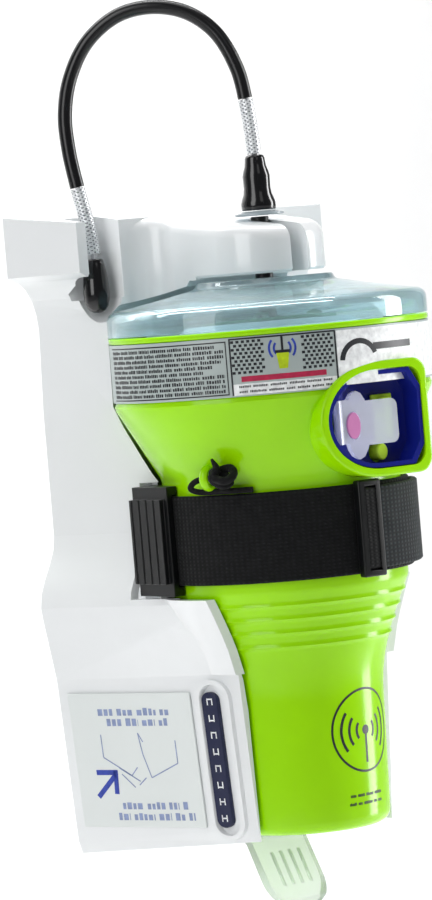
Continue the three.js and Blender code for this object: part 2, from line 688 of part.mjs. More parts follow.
const tipCap = () => lathePost([
  [0, 71.5], [2.6, 72.3], [4, 74.5], [4.3, 78], [3.9, 84], [3, 89], [CORE_R + GAP, 89], [CORE_R + GAP, 79],
  [0, 79],
], TIP_X, TIP_Y);

// ---------------------------------------------------------------- switch compartment

const switchTray = () => {
  const wall = 1.4;
  const outer = solid(switchOutline(-GAP, SWITCH_FACE_Y + 0.4, SWITCH_FLOOR_Y + 1.3));
  const hollow = solid(switchOutline(-GAP - wall, SWITCH_FACE_Y - 1, SWITCH_FLOOR_Y));
  const track = solid(box(SWITCH_X - 13, SWITCH_X + 13, SWITCH_FLOOR_Y - 0.5, SWITCH_FLOOR_Y + 2, 26, 37));
  const buttonHole = solid(pin(3.4, SWITCH_FLOOR_Y - 1, SWITCH_FLOOR_Y + 3, BUTTON_X, BUTTON_Z));
  return subtract(outer, hollow, track, buttonHole).add(guardLugs());
};

// the button's oval cap, with a stem through the tray
const testButton = () => facing(
  ovalShape(BUTTON_X, BUTTON_Z, 2.2, 2.7), SWITCH_FLOOR_Y - 3, SWITCH_FLOOR_Y + 4, 8);

// a plate on the tray's floor with a ridge on its front and a foot in the track
const slider = () => {
  const block = (halfWide, y0, y1, z0, z1) => solid(box(
    SLIDER_X - halfWide, SLIDER_X + halfWide, SWITCH_FLOOR_Y + y0, SWITCH_FLOOR_Y + y1, z0, z1));
  return unite(
    block(4, -1.2, -0.3, 24, 39), block(1.6, -3.4, -0.5, 25, 38), block(3, -0.6, 1.2, 26.5, 36.5));
};

// Clear snap guard over the slider: a hinge barrel at its left edge, an oval thumb plate and a cover.
const guard = () => {
  const front = GUARD_Y - 0.9;
  const back = GUARD_Y + 0.9;
  const barrel = solid(post(1.5, BARREL[0], BARREL[1], GUARD_X, GUARD_Y, 12));
  const bore = solid(post(HINGE_PIN_R + GAP, 22, 40, GUARD_X, GUARD_Y, 8));
  const plate = solid(box(GUARD_X, GUARD_X + 7, front, back, BARREL[0], BARREL[1]));
  const oval = solid(facing(ovalShape(THUMB_X, THUMB_Z, 4.8, 10.8), front, back, 8));
  const cover = solid(facing(roundedRect(THUMB_X, GUARD_X + 23, 23.6, 37.6, 2.4), front, back, 4));
  const spot = solid(facing(spotShape(GAP), front - 1, front + 0.8, 8));
  return unite(barrel, plate, oval, cover).subtract(bore).subtract(spot);
};

// lugs on the tray at both ends of the barrel, with the hinge pin between them
const guardLugs = () => {
  const lug = (z0, z1) => solid(
    box(GUARD_X - 1.5, GUARD_X + 1.5, GUARD_Y - 1.2, SWITCH_FLOOR_Y + 0.5, z0, z1));
  const hingePin = solid(post(HINGE_PIN_R, BARREL[0] - 2, BARREL[1] + 2, GUARD_X, GUARD_Y, 8));
  return unite(hingePin, lug(BARREL[0] - 3, BARREL[0] - GAP), lug(BARREL[1] + GAP, BARREL[1] + 3))
    .intersect(solid(switchOutline(-GAP, SWITCH_FACE_Y, SWITCH_FLOOR_Y + 1)));
};

const spotShape = (edge) => ovalShape(THUMB_X - 1.8, THUMB_Z, 2.6 + edge, 4.2 + edge);

// ---------------------------------------------------------------- strap

// Plan of the strap's closed run, round the waist and behind the channel, at an offset outward.
const strapPlan = (offset, PathType) => {
  const r = STRAP_R + offset;
  const past = 0.3;
  const corner = 6 + offset;
  const side = STRAP_SIDE + offset;
  const backY = STRAP_BACK_Y - STRAP_THICK / 2 + offset;
  const path = new PathType();
  path.moveTo(-r * Math.cos(past), AXIS_Y + r * Math.sin(past));
  path.absarc(0, AXIS_Y, r, Math.PI - past, Math.PI * 2 + past);
  path.lineTo(side, -22);
  path.absarc(side - corner, backY - corner, corner, 0, Math.PI / 2);
  path.lineTo(-side + corner, backY);
  path.absarc(-side + corner, backY - corner, corner, Math.PI / 2, Math.PI);
  path.lineTo(-side, -22);
  return path;
};

// the strap's closed run, or the way that it needs, which is larger all round by a clearance
const strapRun = (clearance, halfWidth) => {
  const shape = strapPlan(STRAP_THICK + clearance, THREE.Shape);
  shape.holes.push(strapPlan(-clearance, THREE.Path));
  return raised(shape, STRAP_Z - halfWidth, STRAP_Z + halfWidth, 12);
};

// a curved slab about the beacon's axis, between two headings measured from the front, in degrees
const wrap = (r0, r1, from, to, z0, z1, segments = 14) => {
  const shape = new THREE.Shape();
  const a = THREE.MathUtils.degToRad(from - 90);
  const b = THREE.MathUtils.degToRad(to - 90);
  shape.absarc(0, 0, r1, a, b);
  shape.absarc(0, 0, r0, b, a, true);
  return raised(shape, z0, z1, segments).translate(0, AXIS_Y, 0);
};

const strapTail = () => wrap(TAIL_R, TAIL_R + 2.2, 7.9, 66, STRAP_Z - 13, STRAP_Z + 13);

const strapRing = () => {
  const frame = wrap(TAIL_R, TAIL_R + 3.4, -4.5, 7.2, STRAP_Z - 15.3, STRAP_Z + 15.3, 6);
  const window = wrap(TAIL_R - 1, TAIL_R + 5, -2.4, 5.1, STRAP_Z - 13.2, STRAP_Z + 13.2, 6);
  return solid(frame).subtract(solid(window));
};

// the webbing that shows in the ring's window
const strapFold = () => wrap(TAIL_R, TAIL_R + 3.2, -1.9, 4.6, STRAP_Z - 12.8, STRAP_Z + 12.8, 6);

// ribbed keeper on the strap where it leaves the bracket on the left
const strapKeeper = () => {
  const x = -STRAP_R - STRAP_THICK - 0.3;
  const body = solid(box(x - 1.8, x + 7, -56, -37, STRAP_Z - KEEPER_HALF, STRAP_Z + KEEPER_HALF))
    .add(solid(box(x - 3.4, x - 1.7, -54, -37, STRAP_Z - 13.5, STRAP_Z + 13.5)));
  const way = solid(strapRun(GAP, STRAP_WIDTH / 2 + 0.4));
  const inner = solid(post(STRAP_R + 0.1, -40, 30, 0, AXIS_Y, 48));
  let keeper = subtract(body, way, inner);
  for (let y = -51; y < -38; y += 4) {
    keeper = keeper.subtract(solid(box(x - 4, x - 3, y, y + 0.8, STRAP_Z - 20, STRAP_Z + 20)));
  }
  return keeper;
};

// ---------------------------------------------------------------- lanyard

const lanyardKnot = () => new THREE.SphereGeometry(4, 12, 8)
  .scale(1.3, 0.8, 0.9)
  .rotateZ(EYELET_HEADING)
  .translate(...placeAt(EYELET_HEADING + 0.17, EYELET_R + 4.5, EYELET_Z + 0.3));

// the end of the lanyard, from its knot down to the strap that it is tucked under
const lanyardCord = () => {
  const points = [[-1.05, 45.5, 13], [-1.02, 44, 12.8], [-0.96, 42, 12.8], [-0.86, 40.4, 12.9]];
  return new THREE.ExtrudeGeometry(circleShape(0.8), {
    steps: 6, curveSegments: 4, bevelEnabled: false,
    extrudePath: new THREE.CatmullRomCurve3(
      points.map(([heading, r, z]) => new THREE.Vector3(...placeAt(heading, r, z)))),
  });
};

// ---------------------------------------------------------------- assembly

add('bracket_shell', geometryOf(makeBracket()), finish.white);
add('name_strip_left', nameStrip(-1), finish.navy);
add('name_strip_right', nameStrip(1), finish.navy);
add('instruction_plate', instructionPlate(), finish.white);
add('release_tab', geometryOf(releaseTab()), finish.white);
add('bracket_magnet', box(-7, 7, -27.8, -23.6, -84, -70), finish.silver);

add('lower_housing', geometryOf(makeHousing()), finish.lime);
add('dome_lens', makeDome(), finish.clear);
add('dome_seal', domeSeal(), finish.rubber);
add('label_band', geometryOf(makeLabelBand()), finish.grey);
add('chassis', chassis(), finish.white);
add('strobe_board', strobeBoard(), finish.board);
for (let i = 0; i < 4; i++) add(`strobe_led_${i + 1}`, strobeLed(i), finish.clear);
add('gps_patch', box(-9, 9, AXIS_Y + 29.5, AXIS_Y + 40, 59.8, 64), finish.ceramic);
add('main_board', mainBoard(), finish.board);
add('radio_shield', box(-14, 14, BOARD_Y + 2, BOARD_Y + 6, -30, 6), finish.silver);
add('reed_switch', box(-6, 6, BOARD_Y + 1.9, BOARD_Y + 4, -80, -77), finish.silver);
add('battery_cradle', geometryOf(cradle()), finish.black);
for (let i = 0; i < 4; i++) add(`battery_cell_${i + 1}`, batteryCell(i % 2, i >> 1), finish.cell);
add('water_contact_1', contact(CONTACT_X[0]), finish.silver);
add('water_contact_2', contact(CONTACT_X[1]), finish.silver);

add('antenna_stem', post(STEM_R_OUT, 56, FLANGE_Z - GAP, 0, AXIS_Y, 20), finish.black);
add('antenna_flange', post(8, FLANGE_Z, BOOT_BOTTOM - GAP, 0, AXIS_Y, 24), finish.silver);
add('antenna_boot', boot(), finish.rubber);
add('antenna_core', whipPiece(0, 1, CORE_R, 0, 36, 3), finish.silver);
add('reflective_sleeve_base', cableRun(whipShare(2) + 0.003, whipShare(3), 5), finish.silver);
add('antenna_whip', cableRun(whipShare(3) + 0.0015, whipShare(13), 26), finish.rubber);
add('reflective_sleeve_tip', cableRun(whipShare(13) + 0.0015, whipShare(15) - 0.002, 7), finish.silver);
add('antenna_tip_cap', tipCap(), finish.rubber);

add('switch_tray', geometryOf(switchTray()), finish.navy);
add('switch_slider', geometryOf(slider()), finish.lime);
add('switch_guard', geometryOf(guard()), finish.lilac);
add('guard_spot', facing(spotShape(0), GUARD_Y - 1.3, GUARD_Y - 0.4, 8), finish.pink);
add('test_button', testButton(), finish.lime);

add('strap_band', strapRun(0, STRAP_WIDTH / 2), finish.webbing);
add('strap_ring', geometryOf(strapRing()), finish.black);
add('strap_fold', strapFold(), finish.webbing);
add('strap_tail', strapTail(), finish.webbing);
add('strap_keeper', geometryOf(strapKeeper()), finish.black);
add('lanyard_knot', lanyardKnot(), finish.black);
add('lanyard_cord', lanyardCord(), finish.black);

export default beacon;
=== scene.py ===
"""Looks for the emergency position beacon in its wall bracket, in metres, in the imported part's frame."""

import math
import random

import bmesh
import bpy
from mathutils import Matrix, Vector


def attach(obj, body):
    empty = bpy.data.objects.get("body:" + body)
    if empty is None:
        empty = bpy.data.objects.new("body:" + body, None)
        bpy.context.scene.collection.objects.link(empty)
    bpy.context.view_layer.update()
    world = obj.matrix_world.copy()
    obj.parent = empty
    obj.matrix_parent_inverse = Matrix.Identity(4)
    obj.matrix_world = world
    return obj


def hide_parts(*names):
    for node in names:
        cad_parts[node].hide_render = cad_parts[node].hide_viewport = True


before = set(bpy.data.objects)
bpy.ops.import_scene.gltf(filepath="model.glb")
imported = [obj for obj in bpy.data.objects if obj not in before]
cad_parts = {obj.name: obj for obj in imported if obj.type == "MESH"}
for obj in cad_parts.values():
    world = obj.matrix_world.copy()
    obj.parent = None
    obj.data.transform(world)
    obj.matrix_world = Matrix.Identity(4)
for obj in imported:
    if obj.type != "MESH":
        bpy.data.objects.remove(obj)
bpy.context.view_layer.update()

MM = 0.001
ROOT = "bracket_and_beacon"
AXIS_Y = -60.0                # the beacon's own axis, in millimetres like all sizes below
HEAD_R = 51.7                 # the head's radius before head_oval() stretches it to these half sizes
HEAD_WIDE, HEAD_DEEP = 54.0, 47.0

# ------------------------------------------------------------------ camera, light and stage

AIM = Vector((-0.0163, -0.0481, 0.0245))
AZIMUTH, ELEVATION, ROLL = -36.0, 2.5, -4.8
DISTANCE = 1.4
FIELD = 0.290                 # height of the view at the beacon's axis
SENSOR = 36                   # the camera's sensor, in its own millimetres

FLOOR_Z, SWEEP_R = -0.42, 0.5
STAGE_FRONT_Y, WALL_Y, WALL_TOP = -2.2, 1.4, 2.2
STAGE_HALF_WIDTH = 3.0


def make_camera():
    azimuth, elevation = math.radians(AZIMUTH), math.radians(ELEVATION)
    back = Vector((
        math.sin(azimuth) * math.cos(elevation),
        -math.cos(azimuth) * math.cos(elevation),
        math.sin(elevation),
    ))
    data = bpy.data.cameras.new("camera")
    data.sensor_width = SENSOR
    data.lens = data.sensor_width * DISTANCE / FIELD
    camera = bpy.data.objects.new("camera", data)
    camera.location = AIM + back * DISTANCE
    camera.rotation_euler = (-back).to_track_quat("-Z", "Y").to_euler()
    camera.rotation_euler.rotate_axis("Z", math.radians(ROLL))
    bpy.context.scene.collection.objects.link(camera)
    bpy.context.scene.camera = camera


def area_light(name, place, size, power, target=(0, -0.06, 0.02)):
    data = bpy.data.lights.new(name, "AREA")
    data.shape = "RECTANGLE"
    data.size, data.size_y = size
    data.energy = power
    light = bpy.data.objects.new(name, data)
    light.location = place
    light.rotation_euler = (Vector(target) - Vector(place)).to_track_quat("-Z", "Y").to_euler()
    bpy.context.scene.collection.objects.link(light)


def pale_paper():
    """Matt pale paper that is clear when seen from behind."""
    n = Nodes("pale_paper", Base_Color=(0.93, 0.93, 0.93, 1), Roughness=0.9)
    n.clear_where(n.add("ShaderNodeNewGeometry").outputs["Backfacing"])
    return n.material


def make_stage():
    """A pale floor that curves up into a pale backdrop."""
    section = [(STAGE_FRONT_Y, FLOOR_Z)]
    for step in range(13):
        a = math.pi / 2 * step / 12
        section.append((WALL_Y - SWEEP_R + SWEEP_R * math.sin(a), FLOOR_Z + SWEEP_R - SWEEP_R * math.cos(a)))
    section.append((WALL_Y, WALL_TOP))
    verts = [(x, y, z) for y, z in section for x in (-STAGE_HALF_WIDTH, STAGE_HALF_WIDTH)]
    faces = [(2 * i, 2 * i + 1, 2 * i + 3, 2 * i + 2) for i in range(len(section) - 1)]
    mesh = bpy.data.meshes.new("floor")
    mesh.from_pydata(verts, [], faces)
    mesh.shade_smooth()
    mesh.materials.append(pale_paper())
    floor = bpy.data.objects.new("floor", mesh)
    bpy.context.scene.collection.objects.link(floor)


def make_light():
    world = bpy.data.worlds.new("studio")
    world.use_nodes = True
    sky = world.node_tree.nodes["Background"]
    sky.inputs["Color"].default_value = (0.97, 0.985, 1.0, 1)
    sky.inputs["Strength"].default_value = 0.17
    bpy.context.scene.world = world
    area_light("left_softbox", (-1.12, -0.42, 0.5), (0.6, 1.2), 7.6)
    area_light("front_softbox", (-0.2, -1.35, 0.9), (0.5, 0.5), 0.6)
    area_light("right_strip", (1.08, -0.5, 0.1), (0.34, 1.3), 15.0)
    area_light("top_softbox", (-0.1, -0.1, 1.2), (0.9, 0.5), 2.6)
    area_light("backdrop_wash", (0.0, 0.5, 1.6), (2.2, 0.5), 44, target=(0.6, WALL_Y, 0.2))


# ------------------------------------------------------------------ material building


class Nodes:
    """A material's node tree, with short ways to add and join nodes."""

    def __init__(self, name, **settings):
        self.material = bpy.data.materials.new(name)
        self.material.use_nodes = True
        self.tree = self.material.node_tree
        self.shader = self.tree.nodes["Principled BSDF"]
        for socket, value in settings.items():
            self.shader.inputs[socket.replace("_", " ")].default_value = value

    def fill(self, socket, value):
        """Sets a socket to a constant or joins it to another node's output."""
        if isinstance(value, bpy.types.NodeSocket):
            self.tree.links.new(value, socket)
        else:
            socket.default_value = value

    def add(self, kind, **sockets):
        node = self.tree.nodes.new(kind)
        for socket, value in sockets.items():
            self.fill(node.inputs[socket.replace("_", " ")], value)
        return node

    def link(self, source, node, socket):
        self.tree.links.new(source, node.inputs[socket])

    def place(self, scale=(1, 1, 1), turn=(0, 0, 0), source="Object"):
        """Coordinates in metres in the part's frame, or UV, stretched by scale."""
        coordinates = self.add("ShaderNodeTexCoord")
        mapping = self.add("ShaderNodeMapping", Scale=scale, Rotation=turn)
        self.link(coordinates.outputs[source], mapping, "Vector")
        return mapping.outputs["Vector"]

    def noise(self, scale, detail=3.0, stretch=(1, 1, 1)):
        node = self.add("ShaderNodeTexNoise", Scale=scale, Detail=detail)
        self.link(self.place(stretch), node, "Vector")
        return node.outputs["Fac"]

    def ramp(self, value, low, high, colours):
        node = self.add("ShaderNodeValToRGB", Fac=value)
        for element, place, colour in zip(node.color_ramp.elements, (low, high), colours):
            element.position = place
            element.color = (*colour, 1)
        return node.outputs["Color"]

    def spread(self, value, low, high):
        node = self.add("ShaderNodeMapRange", Value=value, To_Min=low, To_Max=high)
        return node.outputs["Result"]

    def math(self, operation, a, b):
        node = self.tree.nodes.new("ShaderNodeMath")
        node.operation = operation
        for socket, value in zip(node.inputs, (a, b)):
            self.fill(socket, value)
        return node.outputs["Value"]

    def bump(self, height, strength, distance):
        node = self.add("ShaderNodeBump", Height=height, Strength=strength, Distance=distance)
        self.link(node.outputs["Normal"], self.shader, "Normal")

    def colour(self, socket_value):
        self.link(socket_value, self.shader, "Base Color")

    def roughness(self, socket_value):
        self.link(socket_value, self.shader, "Roughness")

    def clear_where(self, share, tint=(1, 1, 1)):
        """Lets light straight through wherever share is 1."""
        clear = self.add("ShaderNodeBsdfTransparent", Color=(*tint, 1))
        mix = self.add("ShaderNodeMixShader", Fac=share)
        self.tree.links.new(self.shader.outputs["BSDF"], mix.inputs[1])
        self.tree.links.new(clear.outputs["BSDF"], mix.inputs[2])
        self.link(mix.outputs["Shader"], self.tree.nodes["Material Output"], "Surface")

    def let_lamps_through(self, tint):
        """Light for the parts behind passes a clear piece unbent."""
        self.clear_where(self.add("ShaderNodeLightPath").outputs["Is Shadow Ray"], tint)


FINE_GRAIN = 0.00002          # height of the finest bumps, in metres


def shaded(colour, factor):
    return tuple(min(1.0, channel * factor) for channel in colour)


def moulded(name, colour, rough, grain_scale=1400, drift=0.06, coat=0.0, shine=0.5):
    """Injection-moulded plastic: slight colour drift, uneven gloss and a fine surface grain."""
    n = Nodes(name, Coat_Weight=coat, Coat_Roughness=0.06, Specular_IOR_Level=shine)
    n.colour(n.ramp(n.noise(22), 0.3, 0.7, (shaded(colour, 1 - drift), shaded(colour, 1 + drift))))
    n.roughness(n.spread(n.noise(60, 5.0), *rough))
    n.bump(n.noise(grain_scale, 2.0), 0.5, FINE_GRAIN)
    return n.material


def metal(name, colour):
    """Metal with fine lines round it."""
    n = Nodes(name, Metallic=1.0)
    streaks = n.noise(240, 4.0, (1, 1, 12))
    n.colour(n.ramp(streaks, 0.3, 0.7, (shaded(colour, 0.85), shaded(colour, 1.1))))
    n.roughness(n.spread(streaks, 0.2, 0.4))
    n.bump(streaks, 0.3, FINE_GRAIN)
    return n.material


def clear_plastic(name, tint, rough, lamp_tint=None, weight=1.0):
    """Clear or cloudy plastic; the weight is how much of its light goes through."""
    n = Nodes(name, Transmission_Weight=weight, IOR=1.49)
    n.colour(n.ramp(n.noise(30), 0.35, 0.65, (shaded(tint, 0.97), shaded(tint, 1.02))))
    n.roughness(n.spread(n.noise(90, 4.0), rough * 0.6, rough * 1.5))
    n.bump(n.noise(160, 2.0), 0.2, 0.00003)
    n.let_lamps_through(lamp_tint or tint)
    return n.material


def webbing(name, colour, ribs, sheen):
    """Woven strap: ribs across its width, threads along it, in the strap's own UV in metres."""
    n = Nodes(name, Sheen_Weight=sheen, Sheen_Roughness=0.5, Specular_IOR_Level=0.25)
    across = n.add("ShaderNodeTexWave", Scale=ribs / 20, Distortion=0.6, Detail=2.0)
    n.link(n.place((1, 0.12, 1), source="UV"), across, "Vector")
    along = n.add("ShaderNodeTexWave", Scale=ribs / 14, Distortion=0.3)
    along.bands_direction = "Y"
    n.link(n.place((0.1, 1, 1), source="UV"), along, "Vector")
    weave = n.math("MULTIPLY", across.outputs["Fac"], along.outputs["Fac"])
    n.colour(n.ramp(weave, 0.05, 0.8, (shaded(colour, 0.6), shaded(colour, 1.7))))
    n.roughness(n.spread(n.noise(300), 0.7, 0.95))
    n.bump(weave, 0.8, 0.00025)
    return n.material


def braided(name):
    """Silver reflective braid: two crossing sets of strands."""
    n = Nodes(name, Metallic=0.35)
    strands = []
    for turn in (0.62, -0.62):
        wave = n.add("ShaderNodeTexWave", Scale=300.0, Distortion=1.6, Detail=2.0)
        n.link(n.place((1, 1, 1), (0, 0, turn), source="UV"), wave, "Vector")
        strands.append(wave.outputs["Fac"])
    cross = n.math("MAXIMUM", *strands)
    mottle = n.math("MULTIPLY", cross, n.spread(n.noise(420, 3.0), 0.35, 1.3))
    n.colour(n.ramp(mottle, 0.2, 0.75, ((0.20, 0.21, 0.23), (0.93, 0.95, 0.97))))
    n.roughness(n.spread(cross, 0.55, 0.25))
    n.bump(cross, 0.7, 0.0002)
    return n.material


def printed(name, colour):
    """Printing ink, a little uneven."""
    n = Nodes(name)
    n.colour(n.ramp(n.noise(500, 3.0), 0.3, 0.7, (shaded(colour, 0.8), shaded(colour, 1.15))))
    n.roughness(n.spread(n.noise(200), 0.32, 0.48))
    return n.material


MATERIAL = {
    "lime": moulded("lime_plastic", (0.33, 0.74, 0.0), (0.14, 0.22), coat=0.12, shine=0.25),
    "lime_flat": moulded("lime_parts", (0.52, 0.80, 0.02), (0.3, 0.4)),
    "white": moulded("white_plastic", (0.82, 0.84, 0.85), (0.16, 0.26), drift=0.015, coat=0.3),
    "panel": moulded("panel_film", (0.74, 0.78, 0.77), (0.3, 0.4), drift=0.02),
    "black": moulded("black_plastic", (0.003, 0.0035, 0.004), (0.3, 0.42), shine=0.35),
    "rubber": moulded("black_rubber", (0.002, 0.002, 0.003), (0.12, 0.22), coat=0.4, shine=0.4),
    "cable": moulded("cable_jacket", (0.003, 0.003, 0.004), (0.2, 0.32), grain_scale=700, shine=0.45),
    "navy": moulded("navy_plastic", (0.006, 0.012, 0.20), (0.12, 0.22), drift=0.15, coat=0.2, shine=0.35),
    "band": moulded("label_film", (0.40, 0.46, 0.45), (0.3, 0.42), drift=0.05),
    "strip": moulded("strip_film", (0.008, 0.012, 0.05), (0.25, 0.35)),
    "pink": moulded("pink_plastic", (0.60, 0.20, 0.45), (0.3, 0.4)),
    "inside": moulded("inner_plastic", (0.36, 0.44, 0.47), (0.35, 0.5)),
    "board": moulded("circuit_board", (0.02, 0.13, 0.06), (0.3, 0.45), drift=0.3),
    "patch": moulded("ceramic_patch", (0.62, 0.55, 0.40), (0.5, 0.6)),
    "cell": moulded("cell_sleeve", (0.02, 0.10, 0.32), (0.25, 0.35)),
    "magnet": metal("magnet_skin", (0.45, 0.45, 0.47)),
    "steel": metal("tinned_steel", (0.72, 0.73, 0.74)),
    "core": metal("spring_core", (0.5, 0.5, 0.52)),
    "dome": clear_plastic("dome_clear", (0.60, 0.75, 0.79), 0.03, (0.85, 0.93, 0.95), 0.82),
    "collar": clear_plastic("collar_clear", (0.46, 0.52, 0.55), 0.08, weight=0.4),
    "tab": clear_plastic("tab_clear", (0.78, 0.84, 0.78), 0.22, weight=0.75),
    "guard": clear_plastic("guard_clear", (0.84, 0.86, 0.98), 0.18, weight=0.6),
    "led": clear_plastic("led_clear", (0.95, 0.95, 0.85), 0.05),
    "webbing": webbing("webbing_black", (0.0025, 0.003, 0.0035), ribs=3600, sheen=0.02),
    "tail": webbing("webbing_tail", (0.008, 0.012, 0.014), ribs=3200, sheen=0.06),
    "cord": webbing("lanyard_braid", (0.004, 0.004, 0.005), ribs=2600, sheen=0.03),
    "braid": braided("reflective_braid"),
    "ink": printed("ink_black", (0.012, 0.014, 0.018)),
    "ink_red": printed("ink_red", (0.46, 0.02, 0.07)),
    "ink_blue": printed("ink_blue", (0.03, 0.06, 0.40)),
    "ink_pale": printed("ink_pale_blue", (0.26, 0.32, 0.52)),
    "ink_white": printed("ink_white", (0.85, 0.87, 0.88)),
    "ink_lime": printed("ink_lime", (0.50, 0.66, 0.01)),
}

# ------------------------------------------------------------------ piece building


def finish_piece(obj, body, replaces, angle):
    """Smooths a piece, hangs it on its body and hides the CAD nodes it stands in for."""
    obj.data.shade_smooth()
    obj.data.set_sharp_from_angle(angle=math.radians(angle))
    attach(obj, body)
    if replaces:
        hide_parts(*replaces)
    return obj


def link_mesh(name, mesh, material):
    mesh.materials.clear()
    mesh.materials.append(MATERIAL[material])
    obj = bpy.data.objects.new(name, mesh)
    bpy.context.scene.collection.objects.link(obj)
    return obj


def from_points(name, verts, faces, material):
    """An object from points in millimetres."""
    mesh = bpy.data.meshes.new(name)
    mesh.from_pydata([Vector(v) * MM for v in verts], [], faces)
    return link_mesh(name, mesh, material)


def applied(obj):
    """Bakes the object's modifiers into its mesh."""
    graph = bpy.context.evaluated_depsgraph_get()
    mesh = bpy.data.meshes.new_from_object(obj.evaluated_get(graph))
    obj.modifiers.clear()
    obj.data = mesh
    return obj


def bevel(obj, width, segments=3, angle=30):
    modifier = obj.modifiers.new("rounding", "BEVEL")
    modifier.width = width * MM
    modifier.segments = segments
    modifier.limit_method = "ANGLE"
    modifier.angle_limit = math.radians(angle)
    return obj


BOX_FACES = ((0, 1, 3, 2), (4, 6, 7, 5), (0, 4, 5, 1), (2, 3, 7, 6), (1, 5, 7, 3), (0, 2, 6, 4))


def combine(obj, cutter, operation):
    """Boolean with another object, which is used up."""
    modifier = obj.modifiers.new("combine", "BOOLEAN")
    modifier.operation = operation
    modifier.solver = "EXACT"
    modifier.object = cutter
    applied(obj)
    bpy.data.objects.remove(cutter)
    return obj


def cad_copy(node, name):
    """A copy of a CAD node's mesh, welded, with its flat areas made whole."""
    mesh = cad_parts[node].data.copy()
    work = bmesh.new()
    work.from_mesh(mesh)
    bmesh.ops.remove_doubles(work, verts=work.verts, dist=0.02 * MM)
    bmesh.ops.dissolve_limit(work, angle_limit=math.radians(0.5), verts=work.verts, edges=work.edges)
    work.to_mesh(mesh)
    work.free()
    mesh.name = name
    return mesh


def refined(node, material, body=ROOT, width=0.4, segments=3):
    """The CAD node's shape with rounded edges, in place of the node."""
    obj = link_mesh(f"{node}_piece", cad_copy(node, node + "_mesh"), material)
    bevel(obj, width, segments, angle=35)
    finish_piece(obj, body, [node], 40)


def revolve(profile, segments=120, oval=None, x=0.0, y=AXIS_Y):
    """Points and faces of a closed profile of (radius, z) turned about an upright axis."""
    verts, faces = [], []
    rings = []
    for r, z in profile:
        if r <= 1e-6:
            rings.append([len(verts)])
            verts.append((x, y, z))
            continue
        rings.append(list(range(len(verts), len(verts) + segments)))
        wide, deep = oval(z) if oval else (1.0, 1.0)
        for i in range(segments):
            a = 2 * math.pi * i / segments
            verts.append((x + r * wide * math.sin(a), y - r * deep * math.cos(a), z))
    for a, b in zip(rings, rings[1:] + rings[:1]):
        if len(a) == 1 and len(b) == 1:
            continue
        for i in range(segments):
            j = (i + 1) % segments
            if len(a) == 1:
                faces.append((a[0], b[i], b[j]))
            elif len(b) == 1:
                faces.append((a[i], b[0], a[j]))
            else:
                faces.append((a[i], b[i], b[j], a[j]))
    return verts, faces


def face_out(obj):
    """Turns all faces of a closed mesh outward."""
    work = bmesh.new()
    work.from_mesh(obj.data)
    bmesh.ops.recalc_face_normals(work, faces=work.faces)
    work.to_mesh(obj.data)
    work.free()
    return obj


def turned(name, profile, material, segments=120, oval=None, x=0.0, y=AXIS_Y):
    return face_out(from_points(name, *revolve(profile, segments, oval, x, y), material))


def smoothstep(value, low, high):
    t = min(1.0, max(0.0, (value - low) / (high - low)))
    return t * t * (3 - 2 * t)


def head_oval(z):
    """How far the beacon's round profile is stretched at a height, across and front to back."""
    share = smoothstep(z, CONE_BOTTOM, BAND_BOTTOM)
    return 1 + (HEAD_WIDE / HEAD_R - 1) * share, 1 + (HEAD_DEEP / HEAD_R - 1) * share


def dress(node, material):
    """Gives a CAD node that stays a better material."""
    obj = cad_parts[node]
    obj.data.materials.clear()
    obj.data.materials.append(MATERIAL[material])
    obj.data.shade_smooth()
    obj.data.set_sharp_from_angle(angle=math.radians(35))


# ------------------------------------------------------------------ beacon housing

WALL = 2.5
FOOT_ROUNDING = 4
RIM_Z, BAND_BOTTOM, CONE_BOTTOM = 63.0, 41.0, 16.0
WAIST_BOTTOM, STEM_TOP, BEACON_BOTTOM = -20.0, -58.0, -99.0
WAIST_R, STEM_R, FOOT_R = 38.5, 27.4, 26.4
RIB_HEIGHTS = (-38.0, -33.5, -29.0, -24.5)


def housing_radius(z):
    if z >= BAND_BOTTOM:
        return HEAD_R
    if z >= CONE_BOTTOM:
        return WAIST_R + (HEAD_R - WAIST_R) * (z - CONE_BOTTOM) / (BAND_BOTTOM - CONE_BOTTOM)
    if z >= WAIST_BOTTOM:
        return WAIST_R
    if z >= STEM_TOP:
        share = (WAIST_BOTTOM - z) / (WAIST_BOTTOM - STEM_TOP)
        return WAIST_R + (STEM_R - WAIST_R) * math.sin(share * math.pi / 2)
    return STEM_R + (FOOT_R - STEM_R) * (STEM_TOP - z) / (STEM_TOP - BEACON_BOTTOM)


def housing_line():
    """Outer line of the housing from its foot to its rim."""
    line = [(0, BEACON_BOTTOM), (FOOT_R - FOOT_ROUNDING - 1, BEACON_BOTTOM)]
    for step in range(7):
        a = math.pi / 2 * step / 6
        inward, upward = FOOT_ROUNDING * (1 - math.sin(a)), FOOT_ROUNDING * (1 - math.cos(a))
        line.append((FOOT_R - inward, BEACON_BOTTOM + upward))
    z = BEACON_BOTTOM + 8
    while z < STEM_TOP:
        line.append((housing_radius(z), z))
        z += 8
    z = STEM_TOP
    while z < WAIST_BOTTOM:
        swell = sum(0.7 * math.exp(-((z - rib) / 0.7) ** 2) for rib in RIB_HEIGHTS)
        line.append((housing_radius(z) + swell, z))
        z += 0.5 if z > -41 else 2
    line += [(WAIST_R, WAIST_BOTTOM + 0.5), (WAIST_R, 0), (WAIST_R, CONE_BOTTOM - 0.5)]
    line += [(housing_radius(z), z) for z in (CONE_BOTTOM + 1, 20, 24, 28, 32, 36, 39.6)]
    line += [(HEAD_R - 0.35, 40.9), (HEAD_R - 0.75, 41.8), (HEAD_R - 1, 42.6)]
    line += [(HEAD_R - 1, RIM_Z - 1.9), (HEAD_R - 0.2, RIM_Z - 1.7), (HEAD_R, RIM_Z - 1.3)]
    return line + [(HEAD_R, RIM_Z - 0.3), (HEAD_R - 0.3, RIM_Z)]


